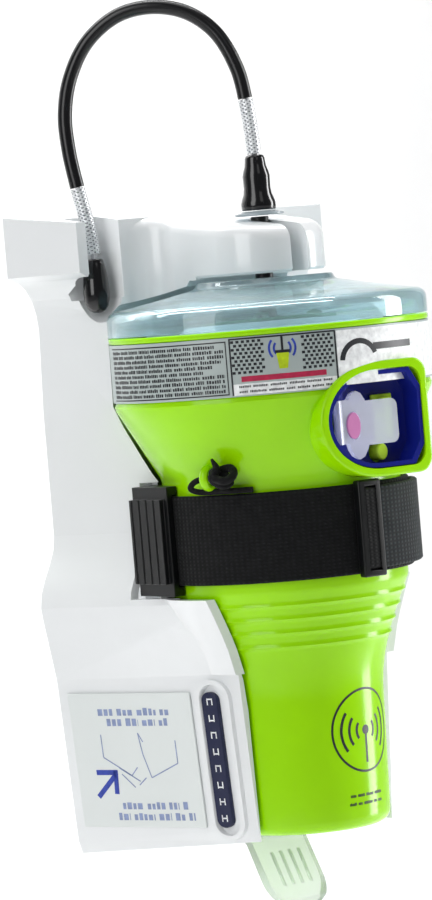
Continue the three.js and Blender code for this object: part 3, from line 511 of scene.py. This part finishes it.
def inside_line(low):
    """Inner line of the housing from its rim down to a height."""
    heights = (RIM_Z, 42, 36, 28, 20, 16, 0, -20, -26, -32, -40, -48, -58, low)
    return [(min(housing_radius(z), HEAD_R - 1) - WALL, z) for z in heights]


SWITCH_X, SWITCH_Z = 4.0, 31.5
SWITCH_FACE_Y, SWITCH_FLOOR_Y = -107.0, -99.5
SWITCH_WIDE, SWITCH_HIGH = 19.0, 15.6
COWL_EDGE = 2.6


def switch_outline(edge):
    """D-shaped outline of the switch recess in x and z, grown by an edge width."""
    right, high = SWITCH_X + SWITCH_WIDE + edge, SWITCH_HIGH + edge
    centre = SWITCH_X + 1
    points = []
    for step in range(8):
        a = -math.pi / 2 + math.pi / 2 * step / 7
        points.append((right - 5 + 5 * math.cos(a), SWITCH_Z - high + 5 + 5 * math.sin(a)))
    for step in range(8):
        a = math.pi / 2 * step / 7
        points.append((right - 5 + 5 * math.cos(a), SWITCH_Z + high - 5 + 5 * math.sin(a)))
    for step in range(33):
        a = math.pi / 2 + math.pi * step / 32
        points.append((centre + (SWITCH_WIDE + 1 + edge) * math.cos(a), SWITCH_Z + high * math.sin(a)))
    return points


def prism(name, outline, y0, y1, material):
    """A flat outline in x and z, running back from y0 to y1."""
    count = len(outline)
    verts = [(x, y, z) for y in (y0, y1) for x, z in outline]
    sides = [(i, (i + 1) % count, count + (i + 1) % count, count + i) for i in range(count)]
    faces = [tuple(range(count)), tuple(range(count, 2 * count)), *sides]
    return face_out(from_points(name, verts, faces, material))


def make_housing():
    outer = housing_line()
    shell_line = outer + inside_line(BEACON_BOTTOM + WALL) + [(0, BEACON_BOTTOM + WALL)]
    shell = turned("housing_shell", shell_line, "lime", 144, head_oval)
    cowl = applied(bevel(prism("cowl", switch_outline(COWL_EDGE), SWITCH_FACE_Y, -80, "lime"), 0.9, 4))
    core_line = [(0, RIM_Z + 2), (HEAD_R - 1 - WALL, RIM_Z + 2)]
    core_line += inside_line(BEACON_BOTTOM + 6) + [(0, BEACON_BOTTOM + 6)]
    core = turned("core", core_line, "lime", 144, head_oval)
    cowl = combine(cowl, core, "DIFFERENCE")
    shell = combine(shell, cowl, "UNION")
    recess = prism("recess", switch_outline(0), SWITCH_FACE_Y - 2, SWITCH_FLOOR_Y + 1.6, "lime")
    shell = combine(shell, recess, "DIFFERENCE")
    finish_piece(shell, ROOT, ["lower_housing"], 32)
    make_eyelet()


EYELET_HEADING, EYELET_R, EYELET_Z = -70.0, 41.5, 17.3
EAR_R, EAR_THICK, EAR_HALF_WIDTH = 3.05, 1.15, 1.5


def round_axis(heading, radius, z):
    """A place round the beacon's axis, by its heading from the front in degrees."""
    a = math.radians(heading)
    return (radius * math.sin(a), AXIS_Y - radius * math.cos(a), z)


def make_eyelet():
    """Moulded ear with a hole for the lanyard."""
    verts, faces = [], []
    sides, around = 10, 32
    for i in range(around):
        a = 2 * math.pi * i / around
        for k in range(sides):
            b = 2 * math.pi * k / sides
            r = EAR_R + EAR_THICK * math.cos(b)
            lift, z = r * math.cos(a), r * math.sin(a)
            x, y, _ = round_axis(EYELET_HEADING, EYELET_R + lift, 0)
            tangent = math.radians(EYELET_HEADING)
            across = EAR_HALF_WIDTH * math.sin(b)
            verts.append((x + across * math.cos(tangent), y + across * math.sin(tangent), EYELET_Z + z))
    for i in range(around):
        for k in range(sides):
            a, b = i * sides, (i + 1) % around * sides
            faces.append((a + k, a + (k + 1) % sides, b + (k + 1) % sides, b + k))
    ear = face_out(from_points("lanyard_eyelet", verts, faces, "lime"))
    finish_piece(ear, ROOT, [], 40)


# ------------------------------------------------------------------ dome and what it covers

DOME_TOP = 78.5
SHOULDER_R = 3.4


def make_dome():
    line = [(HEAD_R, 63.4), (HEAD_R, 67.6)]
    for step in range(1, 9):
        a = math.radians(78) * step / 8
        line.append((HEAD_R - SHOULDER_R + SHOULDER_R * math.cos(a), 68.2 + SHOULDER_R * math.sin(a)))
    line += [(HEAD_R - 8, 72.4), (34, 74.2), (24.6, 76.2), (23.2, 76.6), (22.5, 77.2)]
    line += [(22.1, DOME_TOP - 0.4), (21.6, DOME_TOP)]
    line += [(3.9, DOME_TOP), (3.5, DOME_TOP - 0.4), (3.5, DOME_TOP - 2.2)]
    line += [(20, DOME_TOP - 2.2), (22.4, 74.5), (34, 72.1), (HEAD_R - 4.4, 69.9)]
    line += [(HEAD_R - 3, 69.2), (HEAD_R - 2.3, 67.8), (HEAD_R - 2.2, 63.4)]
    dome = turned("dome_shell", line, "dome", 144, head_oval)
    finish_piece(dome, ROOT, ["dome_lens"], 40)
    seal = turned("dome_seal_ring", [(46.4, 60.1), (47.8, 60.1), (47.8, 62.5), (46.4, 62.5)], "rubber",
                  96, head_oval)
    finish_piece(seal, ROOT, ["dome_seal"], 40)


def make_chassis_ribs():
    """Twelve upright ribs that stand round the chassis deck."""
    verts, faces = [], []
    for heading in range(0, 360, 30):
        a = math.radians(heading)
        base = len(verts)
        for r in (32.0, 44.5):
            for side in (-0.7, 0.7):
                for z in (59.5, 62.5):
                    wide, deep = head_oval(z)
                    x = r * wide * math.sin(a) + side * math.cos(a)
                    y = AXIS_Y - r * deep * math.cos(a) + side * math.sin(a)
                    verts.append((x, y, z))
        for face in BOX_FACES:
            faces.append(tuple(base + corner for corner in face))
    ribs = face_out(from_points("chassis_ribs", verts, faces, "inside"))
    finish_piece(ribs, ROOT, [], 30)


def make_chassis():
    line = [(3.4, 57), (45.6, 57), (46, 57.4), (46, 59.1), (45.6, 59.5), (31, 59.5)]
    line += [(30, 60), (27.6, 65.2), (26.8, 66), (3.4, 66)]
    deck = turned("chassis_deck", line, "inside", 96, head_oval)
    finish_piece(deck, ROOT, ["chassis"], 35)
    disc = [(3.3, 66.3), (21.8, 66.3), (22, 66.5), (22, 67.7), (21.8, 67.9), (3.3, 67.9)]
    finish_piece(turned("strobe_disc", disc, "board", 72), ROOT, ["strobe_board"], 35)
    make_chassis_ribs()
    for index in range(1, 5):
        a = (index - 0.5) * math.pi / 2
        x, y = 15 * math.cos(a), AXIS_Y + 15 * math.sin(a)
        lamp = [(0, 71.4), (1.2, 71.2), (2.2, 70.4), (2.6, 69.4), (2.6, 68.2), (0, 68.2)]
        lens = turned(f"strobe_lamp_{index}", lamp, "led", 32, x=x, y=y)
        finish_piece(lens, ROOT, [f"strobe_led_{index}"], 50)
    refined("gps_patch", "patch")


def make_electronics():
    refined("main_board", "board", width=0.2)
    refined("radio_shield", "steel")
    refined("reed_switch", "steel", width=0.3)
    refined("battery_cradle", "black", width=0.3)
    for index in range(4):
        x = 8.8 if index % 2 else -8.8
        low = -84.5 + (index // 2) * 45.5
        line = [(0, low), (7.6, low), (8.3, low + 0.3), (8.5, low + 1), (8.5, low + 43)]
        line += [(8.2, low + 43.7), (7.4, low + 44), (3, low + 44), (2.9, low + 45), (0, low + 45)]
        cell = turned(f"cell_{index + 1}", line, "cell", 48, x=x, y=AXIS_Y - 3.6)
        finish_piece(cell, ROOT, [f"battery_cell_{index + 1}"], 35)
    for index in (1, 2):
        refined(f"water_contact_{index}", "steel", width=0.15)


# ------------------------------------------------------------------ label band and printing


LABEL_R = HEAD_R - 0.1


def on_head(heading, z, lift):
    """A place on the label band's face, by heading in degrees and height."""
    a = math.radians(heading)
    r = LABEL_R + lift
    wide, deep = head_oval(z)
    return (r * wide * math.sin(a), AXIS_Y - r * deep * math.cos(a), z)


def on_stem(heading, z, lift):
    """A place on the lower housing, by heading in degrees and height."""
    return round_axis(heading, housing_radius(z) + lift, z)


# the bracket's side edge at the wall, as places of half width and height
EDGE_LINE = ((57, -23), (56.5, -27), (53.2, -47), (53, -50), (50, -100.6), (48.8, -104.6))
WING_SLOPE = 0.335            # how fast the wings close in towards the front
PRINT_BASE = 0.9              # the plate's and the strips' faces stand this far off the wing
PLATE_BACK_Y, STRIP_Y = -10.0, -57.8


def wing_x(y, z):
    """Distance of the left wing's outer face from the middle, at a place on it."""
    for (x1, z1), (x0, z0) in zip(EDGE_LINE, EDGE_LINE[1:]):
        if z >= z0:
            break
    return x0 + (x1 - x0) * (z - z0) / (z1 - z0) + WING_SLOPE * y


def on_plate(across, up, lift):
    """A place on the instruction plate: across runs from its back edge to its front."""
    y = PLATE_BACK_Y - across
    return (-wing_x(y, up) - PRINT_BASE - lift, y, up)


def printed_patches(name, place, quads, material, lift=0.05, step=2.0):
    """One mesh of thin printed areas; each is four (a, b) corners of a grid on a surface."""
    verts, faces = [], []
    for corners in quads:
        (a0, b0), (a1, b1), (a2, b2), (a3, b3) = corners
        count = max(1, math.ceil(abs(a1 - a0) / step))
        base = len(verts)
        for i in range(count + 1):
            t = i / count
            verts.append(place(a0 + (a1 - a0) * t, b0 + (b1 - b0) * t, lift))
            verts.append(place(a3 + (a2 - a3) * t, b3 + (b2 - b3) * t, lift))
        for i in range(count):
            k = base + 2 * i
            faces.append((k, k + 2, k + 3, k + 1))
    obj = from_points(name, verts, faces, material)
    return finish_piece(obj, ROOT, [], 60)


def rectangle(a0, a1, b0, b1):
    return ((a0, b0), (a1, b0), (a1, b1), (a0, b1))


def stroke(a0, b0, a1, b1, width, stretch=1.0):
    """A straight stroke; stretch is how many units of a make one unit of b."""
    da, db = (a1 - a0) / stretch, b1 - b0
    length = math.hypot(da, db) or 1
    na, nb = -db / length * width / 2 * stretch, da / length * width / 2
    return ((a0 + na, b0 + nb), (a1 + na, b1 + nb), (a1 - na, b1 - nb), (a0 - na, b0 - nb))


def arc_strokes(a, b, radius, start, end, width, stretch, steps):
    """An arc round (a, b) as a row of short strokes, from one angle in degrees to another."""
    inner, outer = radius - width / 2, radius + width / 2
    quads = []
    for i in range(steps):
        t0, t1 = (math.radians(start + (end - start) * k / steps) for k in (i, i + 1))
        corners = ((t0, inner), (t1, inner), (t1, outer), (t0, outer))
        quads.append(tuple((a + r * math.cos(t) * stretch, b + r * math.sin(t)) for t, r in corners))
    return quads


def words(a0, a1, b, height, longest, rng, gap=0.9):
    """A row of short bars that stands for a line of small print."""
    quads, a = [], a0
    while a < a1 - gap:
        end = min(a1, a + rng.uniform(0.35, 1.0) * longest)
        letter = a
        while letter < end:
            tall = height * rng.uniform(0.72, 1.0)
            wide = min(end - letter, height * 0.62 * rng.uniform(0.7, 1.2))
            quads.append(rectangle(letter, letter + wide, b, b + tall))
            letter += wide + height * 0.22
        a = end + gap
    return quads


def make_label_text(rng):
    """Ten rows of small print in a ruled field."""
    text = []
    for row in range(10):
        text += words(-109, -49.8 - rng.choice((0, 0, 3, 8)), 58.0 - row * 1.55, 1.12, 9, rng, 0.8)
    text += [rectangle(-110, -48.6, 59.6, 60.0), rectangle(-110, -48.6, 43.2, 43.6)]
    text += [rectangle(-49.0, -48.6, 43.6, 59.6)]
    printed_patches("label_small_print", on_head, text, "ink")


def make_label_dots():
    """Rows of dots on both sides of the pictogram, in a frame."""
    pictogram, clear_of_it = -29, 6.4
    dots = []
    row = 0
    b = 49.9
    while b < 60:
        a = -46.4 + (row % 2) * 0.95
        while a < -10.4:
            if abs(a - pictogram) >= clear_of_it:
                dots.append(rectangle(a - 0.55, a + 0.55, b - 0.42, b + 0.42))
            a += 1.9
        b += 1.2
        row += 1
    printed_patches("label_dots", on_head, dots, "ink")
    frame_lines = [rectangle(-47.6, -9.6, 60.2, 60.7)]
    frame_lines += [rectangle(a, a + 0.6, 42.9, 60.2) for a in (-47.6, -10.2)]
    printed_patches("label_dot_frame", on_head, frame_lines, "ink")


def make_label_band():
    low, high = BAND_BOTTOM + 1.5, RIM_Z - 2
    line = [(LABEL_R - 0.6, low), (LABEL_R - 0.1, low), (LABEL_R, low + 0.2)]
    line += [(LABEL_R, high - 0.2), (LABEL_R - 0.1, high), (LABEL_R - 0.6, high)]
    band = turned("label_wrap", line, "band", 144, head_oval)
    cowl = prism("cowl_way", switch_outline(COWL_EDGE + 0.2), SWITCH_FACE_Y - 3, -80, "band")
    finish_piece(combine(band, cowl, "DIFFERENCE"), ROOT, ["label_band"], 40)
    rng = random.Random(7)
    make_label_text(rng)
    make_label_dots()
    pale = [rectangle(-47, -10.2, 42.9, 46.4), rectangle(-9.4, 52, 43.2, 60.4)]
    printed_patches("label_pale_field", on_head, pale, "ink_white", lift=0.03)
    printed_patches("label_red_bar", on_head, [rectangle(-44, -14, 47.0, 48.7)], "ink_red")
    small = words(-45, -12, 45.2, 0.75, 6, rng) + words(-45, -12, 43.6, 0.75, 6, rng)
    printed_patches("label_notes", on_head, small, "ink")
    make_pictogram()


def make_pictogram():
    """A small beacon with its antenna up and two waves of signal."""
    body = [((-31.3, 55.4), (-26.7, 55.4), (-27.5, 50.2), (-30.5, 50.2))]
    printed_patches("mark_beacon", on_head, body, "ink_lime", lift=0.07)
    antenna = [rectangle(-29.4, -28.6, 55.8, 60.2), rectangle(-31.6, -26.4, 55.1, 56.0)]
    printed_patches("mark_antenna", on_head, antenna, "ink", lift=0.09)
    waves = []
    for radius in (2.6, 4.1):
        for start in (-40, 140):
            waves += arc_strokes(-29, 56.6, radius, start, start + 80, 0.7, 1.12, 8)
    printed_patches("mark_waves", on_head, waves, "ink_blue", lift=0.07)
    sweep = arc_strokes(-0.5, 50.4, 6.2, 20, 175, 1.7, 1.15, 16) + [rectangle(5.5, 26, 53.4, 55.6)]
    printed_patches("label_sweep", on_head, sweep, "ink", lift=0.07)


def make_body_mark():
    """A plain round signal mark on the front of the lower body."""
    stretch = math.degrees(1 / STEM_R)
    heading, z = 11, -67.5
    mark = arc_strokes(heading, z, 13.2, 0, 360, 0.75, stretch, 72)
    for radius in (4.0, 7.0, 10.0):
        for start in (-38, 142):
            mark += arc_strokes(heading, z, radius, start, start + 76, 0.95, stretch, 14)
    mark += arc_strokes(heading, z, 0.8, 0, 360, 1.5, stretch, 20)
    mark += [stroke(heading, z - 1.5, heading, z - 10.5, 0.95, stretch)]
    rng = random.Random(3)
    mark += words(-6, 26, -88.6, 1.0, 9, rng, 1.6) + words(-7, 26, -91.2, 1.0, 9, rng, 1.6)
    printed_patches("body_mark", on_stem, mark, "ink")


# ------------------------------------------------------------------ bracket


def make_wing_print():
    """The instruction plate, with rows of print, a line drawing and an arrow."""
    refined("instruction_plate", "panel", width=0.25)
    rng = random.Random(11)
    text = words(5, 35, -58.8, 2.5, 9, rng, 1.5) + words(8, 31, -62.2, 2.5, 9, rng, 1.5)
    text += words(10, 35, -89.6, 2.5, 8, rng, 1.5) + words(8, 37, -93.2, 2.5, 8, rng, 1.5)
    printed_patches("instruction_text", on_plate, text, "ink_pale", step=8)
    lines = [
        (5, -65, 5, -72.5), (5, -72.5, 15, -78.5), (15, -78.5, 17.5, -75.8), (10.5, -76, 18, -80.4),
        (33, -67, 33, -74.5), (33, -74.5, 22.5, -79.2), (22.5, -79.2, 20.2, -71.5),
        (20.2, -71.5, 19.2, -64.5), (19.2, -64.5, 20.8, -67.5), (17.5, -81.6, 20.4, -79.2),
        (11.2, -78, 15.8, -82.4),
    ]
    drawing = [stroke(a0, b0, a1, b1, 0.38) for a0, b0, a1, b1 in lines]
    printed_patches("instruction_drawing", on_plate, drawing, "ink_pale", step=8)
    arrow_lines = ((1.2, -85.6, 8.8, -78.2), (1.5, -77.5, 9.7, -77.5), (8.9, -77.0, 8.4, -84.6))
    arrow = [stroke(a0, b0, a1, b1, 1.7) for a0, b0, a1, b1 in arrow_lines]
    printed_patches("instruction_arrow", on_plate, arrow, "ink_blue", step=8)


def make_name_strips():
    """A dark strip in each wing's pocket, with a column of plain strokes."""
    marks = []
    rng = random.Random(19)
    for index in range(8):
        z = -54.6 - 5.4 * index
        marks += [rectangle(-1.1, -0.7, z - 1.1, z + 1.1), rectangle(0.6, 1.0, z - 1.1, z + 1.1)]
        level = z + rng.choice((-0.9, -0.2, 0.6))
        marks += [rectangle(-1.1, 1.0, level, level + 0.45)]
    for word, side in (("left", -1), ("right", 1)):
        refined(f"name_strip_{word}", "strip", width=0.25)

        def on_strip(across, up, lift, side=side):
            y = STRIP_Y + across
            return (side * (wing_x(y, up) + PRINT_BASE + lift), y, up)

        printed_patches(f"name_strip_marks_{word}", on_strip, marks, "ink_white", step=8)


def make_release_tab():
    """The clear tab, with four finger ribs along it."""
    refined("release_tab", "tab", "release_tab", 0.7, segments=4)
    verts, faces = [], []
    for index in range(4):
        x = -5.4 + 3.6 * index
        base = len(verts)
        for y, z in ((-45.2, -108.3), (-51.2, -118.9)):
            for half in (-0.55, 0.55):
                verts += [(x + half, y + 0.4, z + 0.2), (x + half * 0.5, y - 0.5, z + 0.35)]
        for face in BOX_FACES:
            faces.append(tuple(base + corner for corner in face))
    ribs = face_out(from_points("tab_ribs", verts, faces, "tab"))
    finish_piece(ribs, "release_tab", [], 30)


# ------------------------------------------------------------------ antenna

BOOT_BOTTOM, BOOT_TOP = 100.3, 118.0
TIP_X, TIP_Y = -40.0, -22.5
CABLE_R = 2.35
# the whip's route, as places of distance from the stem towards the tip, and height
LOOP = (
    (0, 100.6), (0, 110), (0, 118), (1.4, 136), (3.4, 146.5), (9.4, 158.4), (18.4, 165.6), (29.4, 168.2),
    (40.6, 166.4), (51, 158.9), (57.6, 147.6), (60.2, 136.3), (60, 125), (58.2, 112.5), (56, 101),
    (54.83, 90), (54.83, 80),
)


def loop_runs(steps=14):
    """The whip's smooth route as one list of points per stretch between the listed places."""
    toward_tip = Vector((TIP_X, TIP_Y - AXIS_Y, 0)).normalized()
    points = [Vector((0, AXIS_Y, z)) + toward_tip * out for out, z in LOOP]
    ends = [2 * points[0] - points[1], *points, 2 * points[-1] - points[-2]]
    runs = []
    for p0, p1, p2, p3 in zip(ends, ends[1:], ends[2:], ends[3:]):
        d0, d1, d2 = (math.sqrt((b - a).length) for a, b in ((p0, p1), (p1, p2), (p2, p3)))
        m1 = ((p1 - p0) / d0 - (p2 - p0) / (d0 + d1) + (p2 - p1) / d1) * d1
        m2 = ((p2 - p1) / d1 - (p3 - p1) / (d1 + d2) + (p3 - p2) / d2) * d1
        run = []
        for i in range(steps + 1):
            t = i / steps
            run.append(p1 * (2 * t ** 3 - 3 * t ** 2 + 1) + m1 * (t ** 3 - 2 * t ** 2 + t)
                       + p2 * (3 * t ** 2 - 2 * t ** 3) + m2 * (t ** 3 - t ** 2))
        runs.append(run)
    return runs


def tube(name, points, radius, material, sides=20):
    """A tube along points in millimetres, with UV in metres along and round it."""
    points = [Vector(p) for p in points]
    verts, faces, along = [], [], [0.0]
    side = None
    for i, point in enumerate(points):
        ahead = (points[min(i + 1, len(points) - 1)] - points[max(i - 1, 0)]).normalized()
        if side is None:
            side = ahead.orthogonal().normalized()
        side = (side - ahead * side.dot(ahead)).normalized()
        other = ahead.cross(side)
        r = radius(i / (len(points) - 1)) if callable(radius) else radius
        for k in range(sides):
            a = 2 * math.pi * k / sides
            verts.append(point + side * (r * math.cos(a)) + other * (r * math.sin(a)))
        if i:
            along.append(along[-1] + (point - points[i - 1]).length)
    for i in range(len(points) - 1):
        for k in range(sides):
            a, b = i * sides, (i + 1) * sides
            faces.append((a + k, a + (k + 1) % sides, b + (k + 1) % sides, b + k))
    faces += [tuple(range(sides))[::-1], tuple(range(len(verts) - sides, len(verts)))]
    obj = from_points(name, verts, faces, material)
    layer = obj.data.uv_layers.new(name="UVMap")
    girth = 2 * math.pi * (radius(0.5) if callable(radius) else radius) * MM
    for polygon in obj.data.polygons:
        columns = [obj.data.loops[i].vertex_index % sides for i in polygon.loop_indices]
        seam = max(columns) - min(columns) > sides / 2
        for index, column in zip(polygon.loop_indices, columns):
            row = obj.data.loops[index].vertex_index // sides
            turn = column + (sides if seam and column == 0 else 0)
            layer.data[index].uv = (along[row] * MM, turn / sides * girth)
    return face_out(obj)


def trimmed(points, start, end=0.0):
    """A line of points without its first and last stretch, in millimetres."""
    keep = list(points)
    for length in (start, end):
        while length > 0:
            step = (keep[1] - keep[0]).length
            if step > length:
                keep[0] = keep[0] + (keep[1] - keep[0]) * (length / step)
                break
            length -= step
            keep.pop(0)
        keep.reverse()
    return keep


def make_boot():
    line = [(1.3, BOOT_BOTTOM), (5.3, BOOT_BOTTOM), (5.6, BOOT_BOTTOM + 0.3), (5.6, 102.6), (5.3, 103.6)]
    line += [(4.6, 105.4), (4.3, 107.4), (4.35, 109.6), (4.4, 111.2), (4.1, 112.6), (3.5, 114.4)]
    line += [(3.3, 115.8), (3.2, 116.9), (2.9, 117.7), (2.4, BOOT_TOP), (1.3, BOOT_TOP)]
    finish_piece(turned("boot_sleeve", line, "rubber", 64), ROOT, ["antenna_boot"], 50)


def make_whip():
    """The whip between its two reflective sleeves."""
    runs = loop_runs()

    def run_of_cable(name, first, last, material, trim):
        line = [point for run in runs[first:last] for point in run[:-1]] + runs[last - 1][-1:]
        return tube(name, trimmed(line, *trim), CABLE_R, material, 28)

    base = run_of_cable("reflector_base", 2, 3, "braid", (0.4,))
    finish_piece(base, ROOT, ["reflective_sleeve_base"], 50)
    whip = run_of_cable("whip_jacket", 3, 13, "cable", (0.4,))
    finish_piece(whip, ROOT, ["antenna_whip"], 50)
    tip = run_of_cable("reflector_tip", 13, 15, "braid", (0.4, 0.6))
    finish_piece(tip, ROOT, ["reflective_sleeve_tip"], 50)


def make_antenna():
    refined("antenna_stem", "black", width=0.2)
    dish = [(0, 98.5), (7.6, 98.5), (8, 98.8), (8, 99.2), (7.4, 99.5), (6.2, 99.7), (5.8, 100), (0, 100)]
    finish_piece(turned("flange_dish", dish, "collar", 72), ROOT, ["antenna_flange"], 35)
    make_boot()
    make_whip()
    line = [(0, 71.5), (1.4, 71.7), (2.6, 72.4), (3.6, 73.8), (4.1, 75.6), (4.3, 78), (4.2, 81), (3.9, 84)]
    line += [(3.4, 87), (3.0, 88.6), (2.6, 89), (1.3, 89), (1.3, 79), (0, 79)]
    cap = turned("tip_cap_shell", line, "rubber", 56, x=TIP_X, y=TIP_Y)
    finish_piece(cap, ROOT, ["antenna_tip_cap"], 50)
    dress("antenna_core", "core")


# ------------------------------------------------------------------ switch


def make_switch():
    refined("switch_tray", "navy", width=0.2)
    refined("switch_slider", "lime_flat", "switch_slider", 0.3)
    refined("switch_guard", "guard", "switch_guard", 0.2)
    refined("guard_spot", "pink", "switch_guard", 0.15)
    refined("test_button", "lime_flat", "test_button", 0.5)


# ------------------------------------------------------------------ strap

STRAP_Z, STRAP_HALF, STRAP_THICK = -2.5, 14.25, 1.8
STRAP_R, STRAP_SIDE, STRAP_BACK_Y = 39.0, 33.5, -12.0
TAIL_R = STRAP_R + STRAP_THICK + 0.5


def arc(cx, cy, r, start, end, count):
    """Points along an arc in plan, between two angles in radians."""
    return [(cx + r * math.cos(start + (end - start) * i / count),
             cy + r * math.sin(start + (end - start) * i / count)) for i in range(count + 1)]


def strap_line():
    """Plan of the strap's inner face: round the waist, back along the wings, behind the channel."""
    past, corner = 0.3, 6.0
    back = STRAP_BACK_Y - STRAP_THICK / 2
    line = arc(0, AXIS_Y, STRAP_R, math.pi - past, 2 * math.pi + past, 72)
    line += arc(STRAP_SIDE - corner, back - corner, corner, 0, math.pi / 2, 8)
    line += arc(-STRAP_SIDE + corner, back - corner, corner, math.pi / 2, math.pi, 8)
    return [p for p, q in zip(line, line[-1:] + line[:-1]) if math.dist(p, q) > 0.01]


def ribbon(name, line, thick, half, material, closed):
    """A flat woven band standing on edge, with rounded long edges and UV in metres."""
    edge = 0.45
    section = [(0, -half + edge), (edge, -half), (thick - edge, -half), (thick, -half + edge)]
    section += [(thick, -half + 2.2), (thick, half - 2.2)]
    section += [(thick, half - edge), (thick - edge, half), (edge, half), (0, half - edge)]
    if closed:
        line = line + line[:1]
    count, width = len(line), len(section)
    verts, along = [], [0.0]
    for i, (x, y) in enumerate(line):
        if closed:
            before, after = line[(i - 1) % (count - 1)], line[(i + 1) % (count - 1)]
        else:
            before, after = line[max(i - 1, 0)], line[min(i + 1, count - 1)]
        dx, dy = after[0] - before[0], after[1] - before[1]
        length = math.hypot(dx, dy)
        for out, up in section:
            verts.append((x + dy / length * out, y - dx / length * out, STRAP_Z + up))
        if i:
            along.append(along[-1] + math.dist((x, y), line[i - 1]))
    faces = []
    for i in range(count - 1):
        a = i * width
        b = (i + 1) % (count - 1) * width if closed else (i + 1) * width
        faces += [(a + k, a + (k + 1) % width, b + (k + 1) % width, b + k) for k in range(width)]
    if not closed:
        faces += [tuple(range(width)), tuple(range(len(verts) - width, len(verts)))]
    else:
        verts = verts[:-width]
    obj = from_points(name, verts, faces, material)
    layer = obj.data.uv_layers.new(name="UVMap")
    for number, polygon in enumerate(obj.data.polygons):
        for index in polygon.loop_indices:
            row, column = divmod(obj.data.loops[index].vertex_index, width)
            if closed and number >= (count - 2) * width and row == 0:
                row = count - 1
            out, up = section[column]
            layer.data[index].uv = (along[row] * MM, (up + (out if up > 0 else -out) * 0.3) * MM)
    return face_out(obj)


def outside_arc(start, end, count):
    """A line on the strap's outer face, between two headings in degrees from the front."""
    return arc(0, AXIS_Y, TAIL_R, math.radians(start - 90), math.radians(end - 90), count)


def make_strap():
    band = ribbon("strap_run", strap_line(), STRAP_THICK, STRAP_HALF, "webbing", True)
    finish_piece(band, ROOT, ["strap_band"], 40)
    tail = ribbon("strap_end_flap", outside_arc(7.9, 66, 36), 2.2, 13, "tail", False)
    finish_piece(tail, "strap_end", ["strap_tail"], 40)
    fold = ribbon("strap_fold_loop", outside_arc(-1.9, 4.6, 8), 3.2, 12.8, "webbing", False)
    finish_piece(fold, ROOT, ["strap_fold"], 40)
    refined("strap_ring", "black", width=0.8)
    refined("strap_keeper", "black", width=0.7)


# ------------------------------------------------------------------ lanyard


def smooth_line(points, steps=8):
    """Points in millimetres along a smooth line through the given ones."""
    points = [Vector(p) for p in points]
    ends = [2 * points[0] - points[1], *points, 2 * points[-1] - points[-2]]
    line = []
    for p0, p1, p2, p3 in zip(ends, ends[1:], ends[2:], ends[3:]):
        for i in range(steps):
            t = i / steps
            line.append(0.5 * (2 * p1 + (p2 - p0) * t + (2 * p0 - 5 * p1 + 4 * p2 - p3) * t ** 2
                               + (3 * p1 - 3 * p2 + p3 - p0) * t ** 3))
    return line + [points[-1]]


# places of heading, distance from the beacon's axis and height
KNOT_ROUTE = (
    (-63, 43.6, 19.6), (-58, 43.4, 20.2), (-55.5, 46, 18.4), (-57.5, 48.6, 16.6), (-62, 48.4, 17.4),
    (-64, 46, 19.4), (-61, 43.6, 18.4), (-58.6, 43.4, 15.8), (-60.5, 46.6, 15.2), (-63.4, 48, 17.4),
    (-62, 47, 20.4), (-64.5, 45.6, 23.4),
)
CORD_ROUTE = (
    (-65, 43.9, 17.8), (-67.5, 42.4, 17.6), (-70, 41.6, 17.3), (-73, 42, 17.2), (-76, 43.6, 16.2),
    (-77.5, 44, 14.4), (-75.5, 42.4, 13.2), (-72, 40.8, 12.9), (-66, 40.3, 12.9), (-58, 40.3, 12.9),
    (-50, 40.3, 12.9),
)
KNOT_CORD_R = 1.35


def knot_radius(share):
    """The knot's cord tapers off over its last tenth."""
    return KNOT_CORD_R - 9 * max(0.0, share - 0.9)


def make_lanyard():
    knot_line = smooth_line([round_axis(*place) for place in KNOT_ROUTE])
    knot = tube("lanyard_hitch", knot_line, knot_radius, "cord", 14)
    finish_piece(knot, ROOT, ["lanyard_knot"], 60)
    line = smooth_line([round_axis(*place) for place in CORD_ROUTE])
    cord = tube("lanyard_line", line, 0.95, "cord", 12)
    finish_piece(cord, ROOT, ["lanyard_cord"], 60)
    length = sum((b - a).length for a, b in zip(line, line[1:])) * MM


# ------------------------------------------------------------------ everything

make_housing()
make_dome()
make_chassis()
make_electronics()
make_label_band()
make_body_mark()
refined("bracket_shell", "white", width=0.8)
make_wing_print()
make_name_strips()
make_release_tab()
dress("bracket_magnet", "magnet")
make_antenna()
make_switch()
make_strap()
make_lanyard()

make_camera()
make_stage()
make_light()
bpy.context.scene.view_settings.view_transform = "Standard"
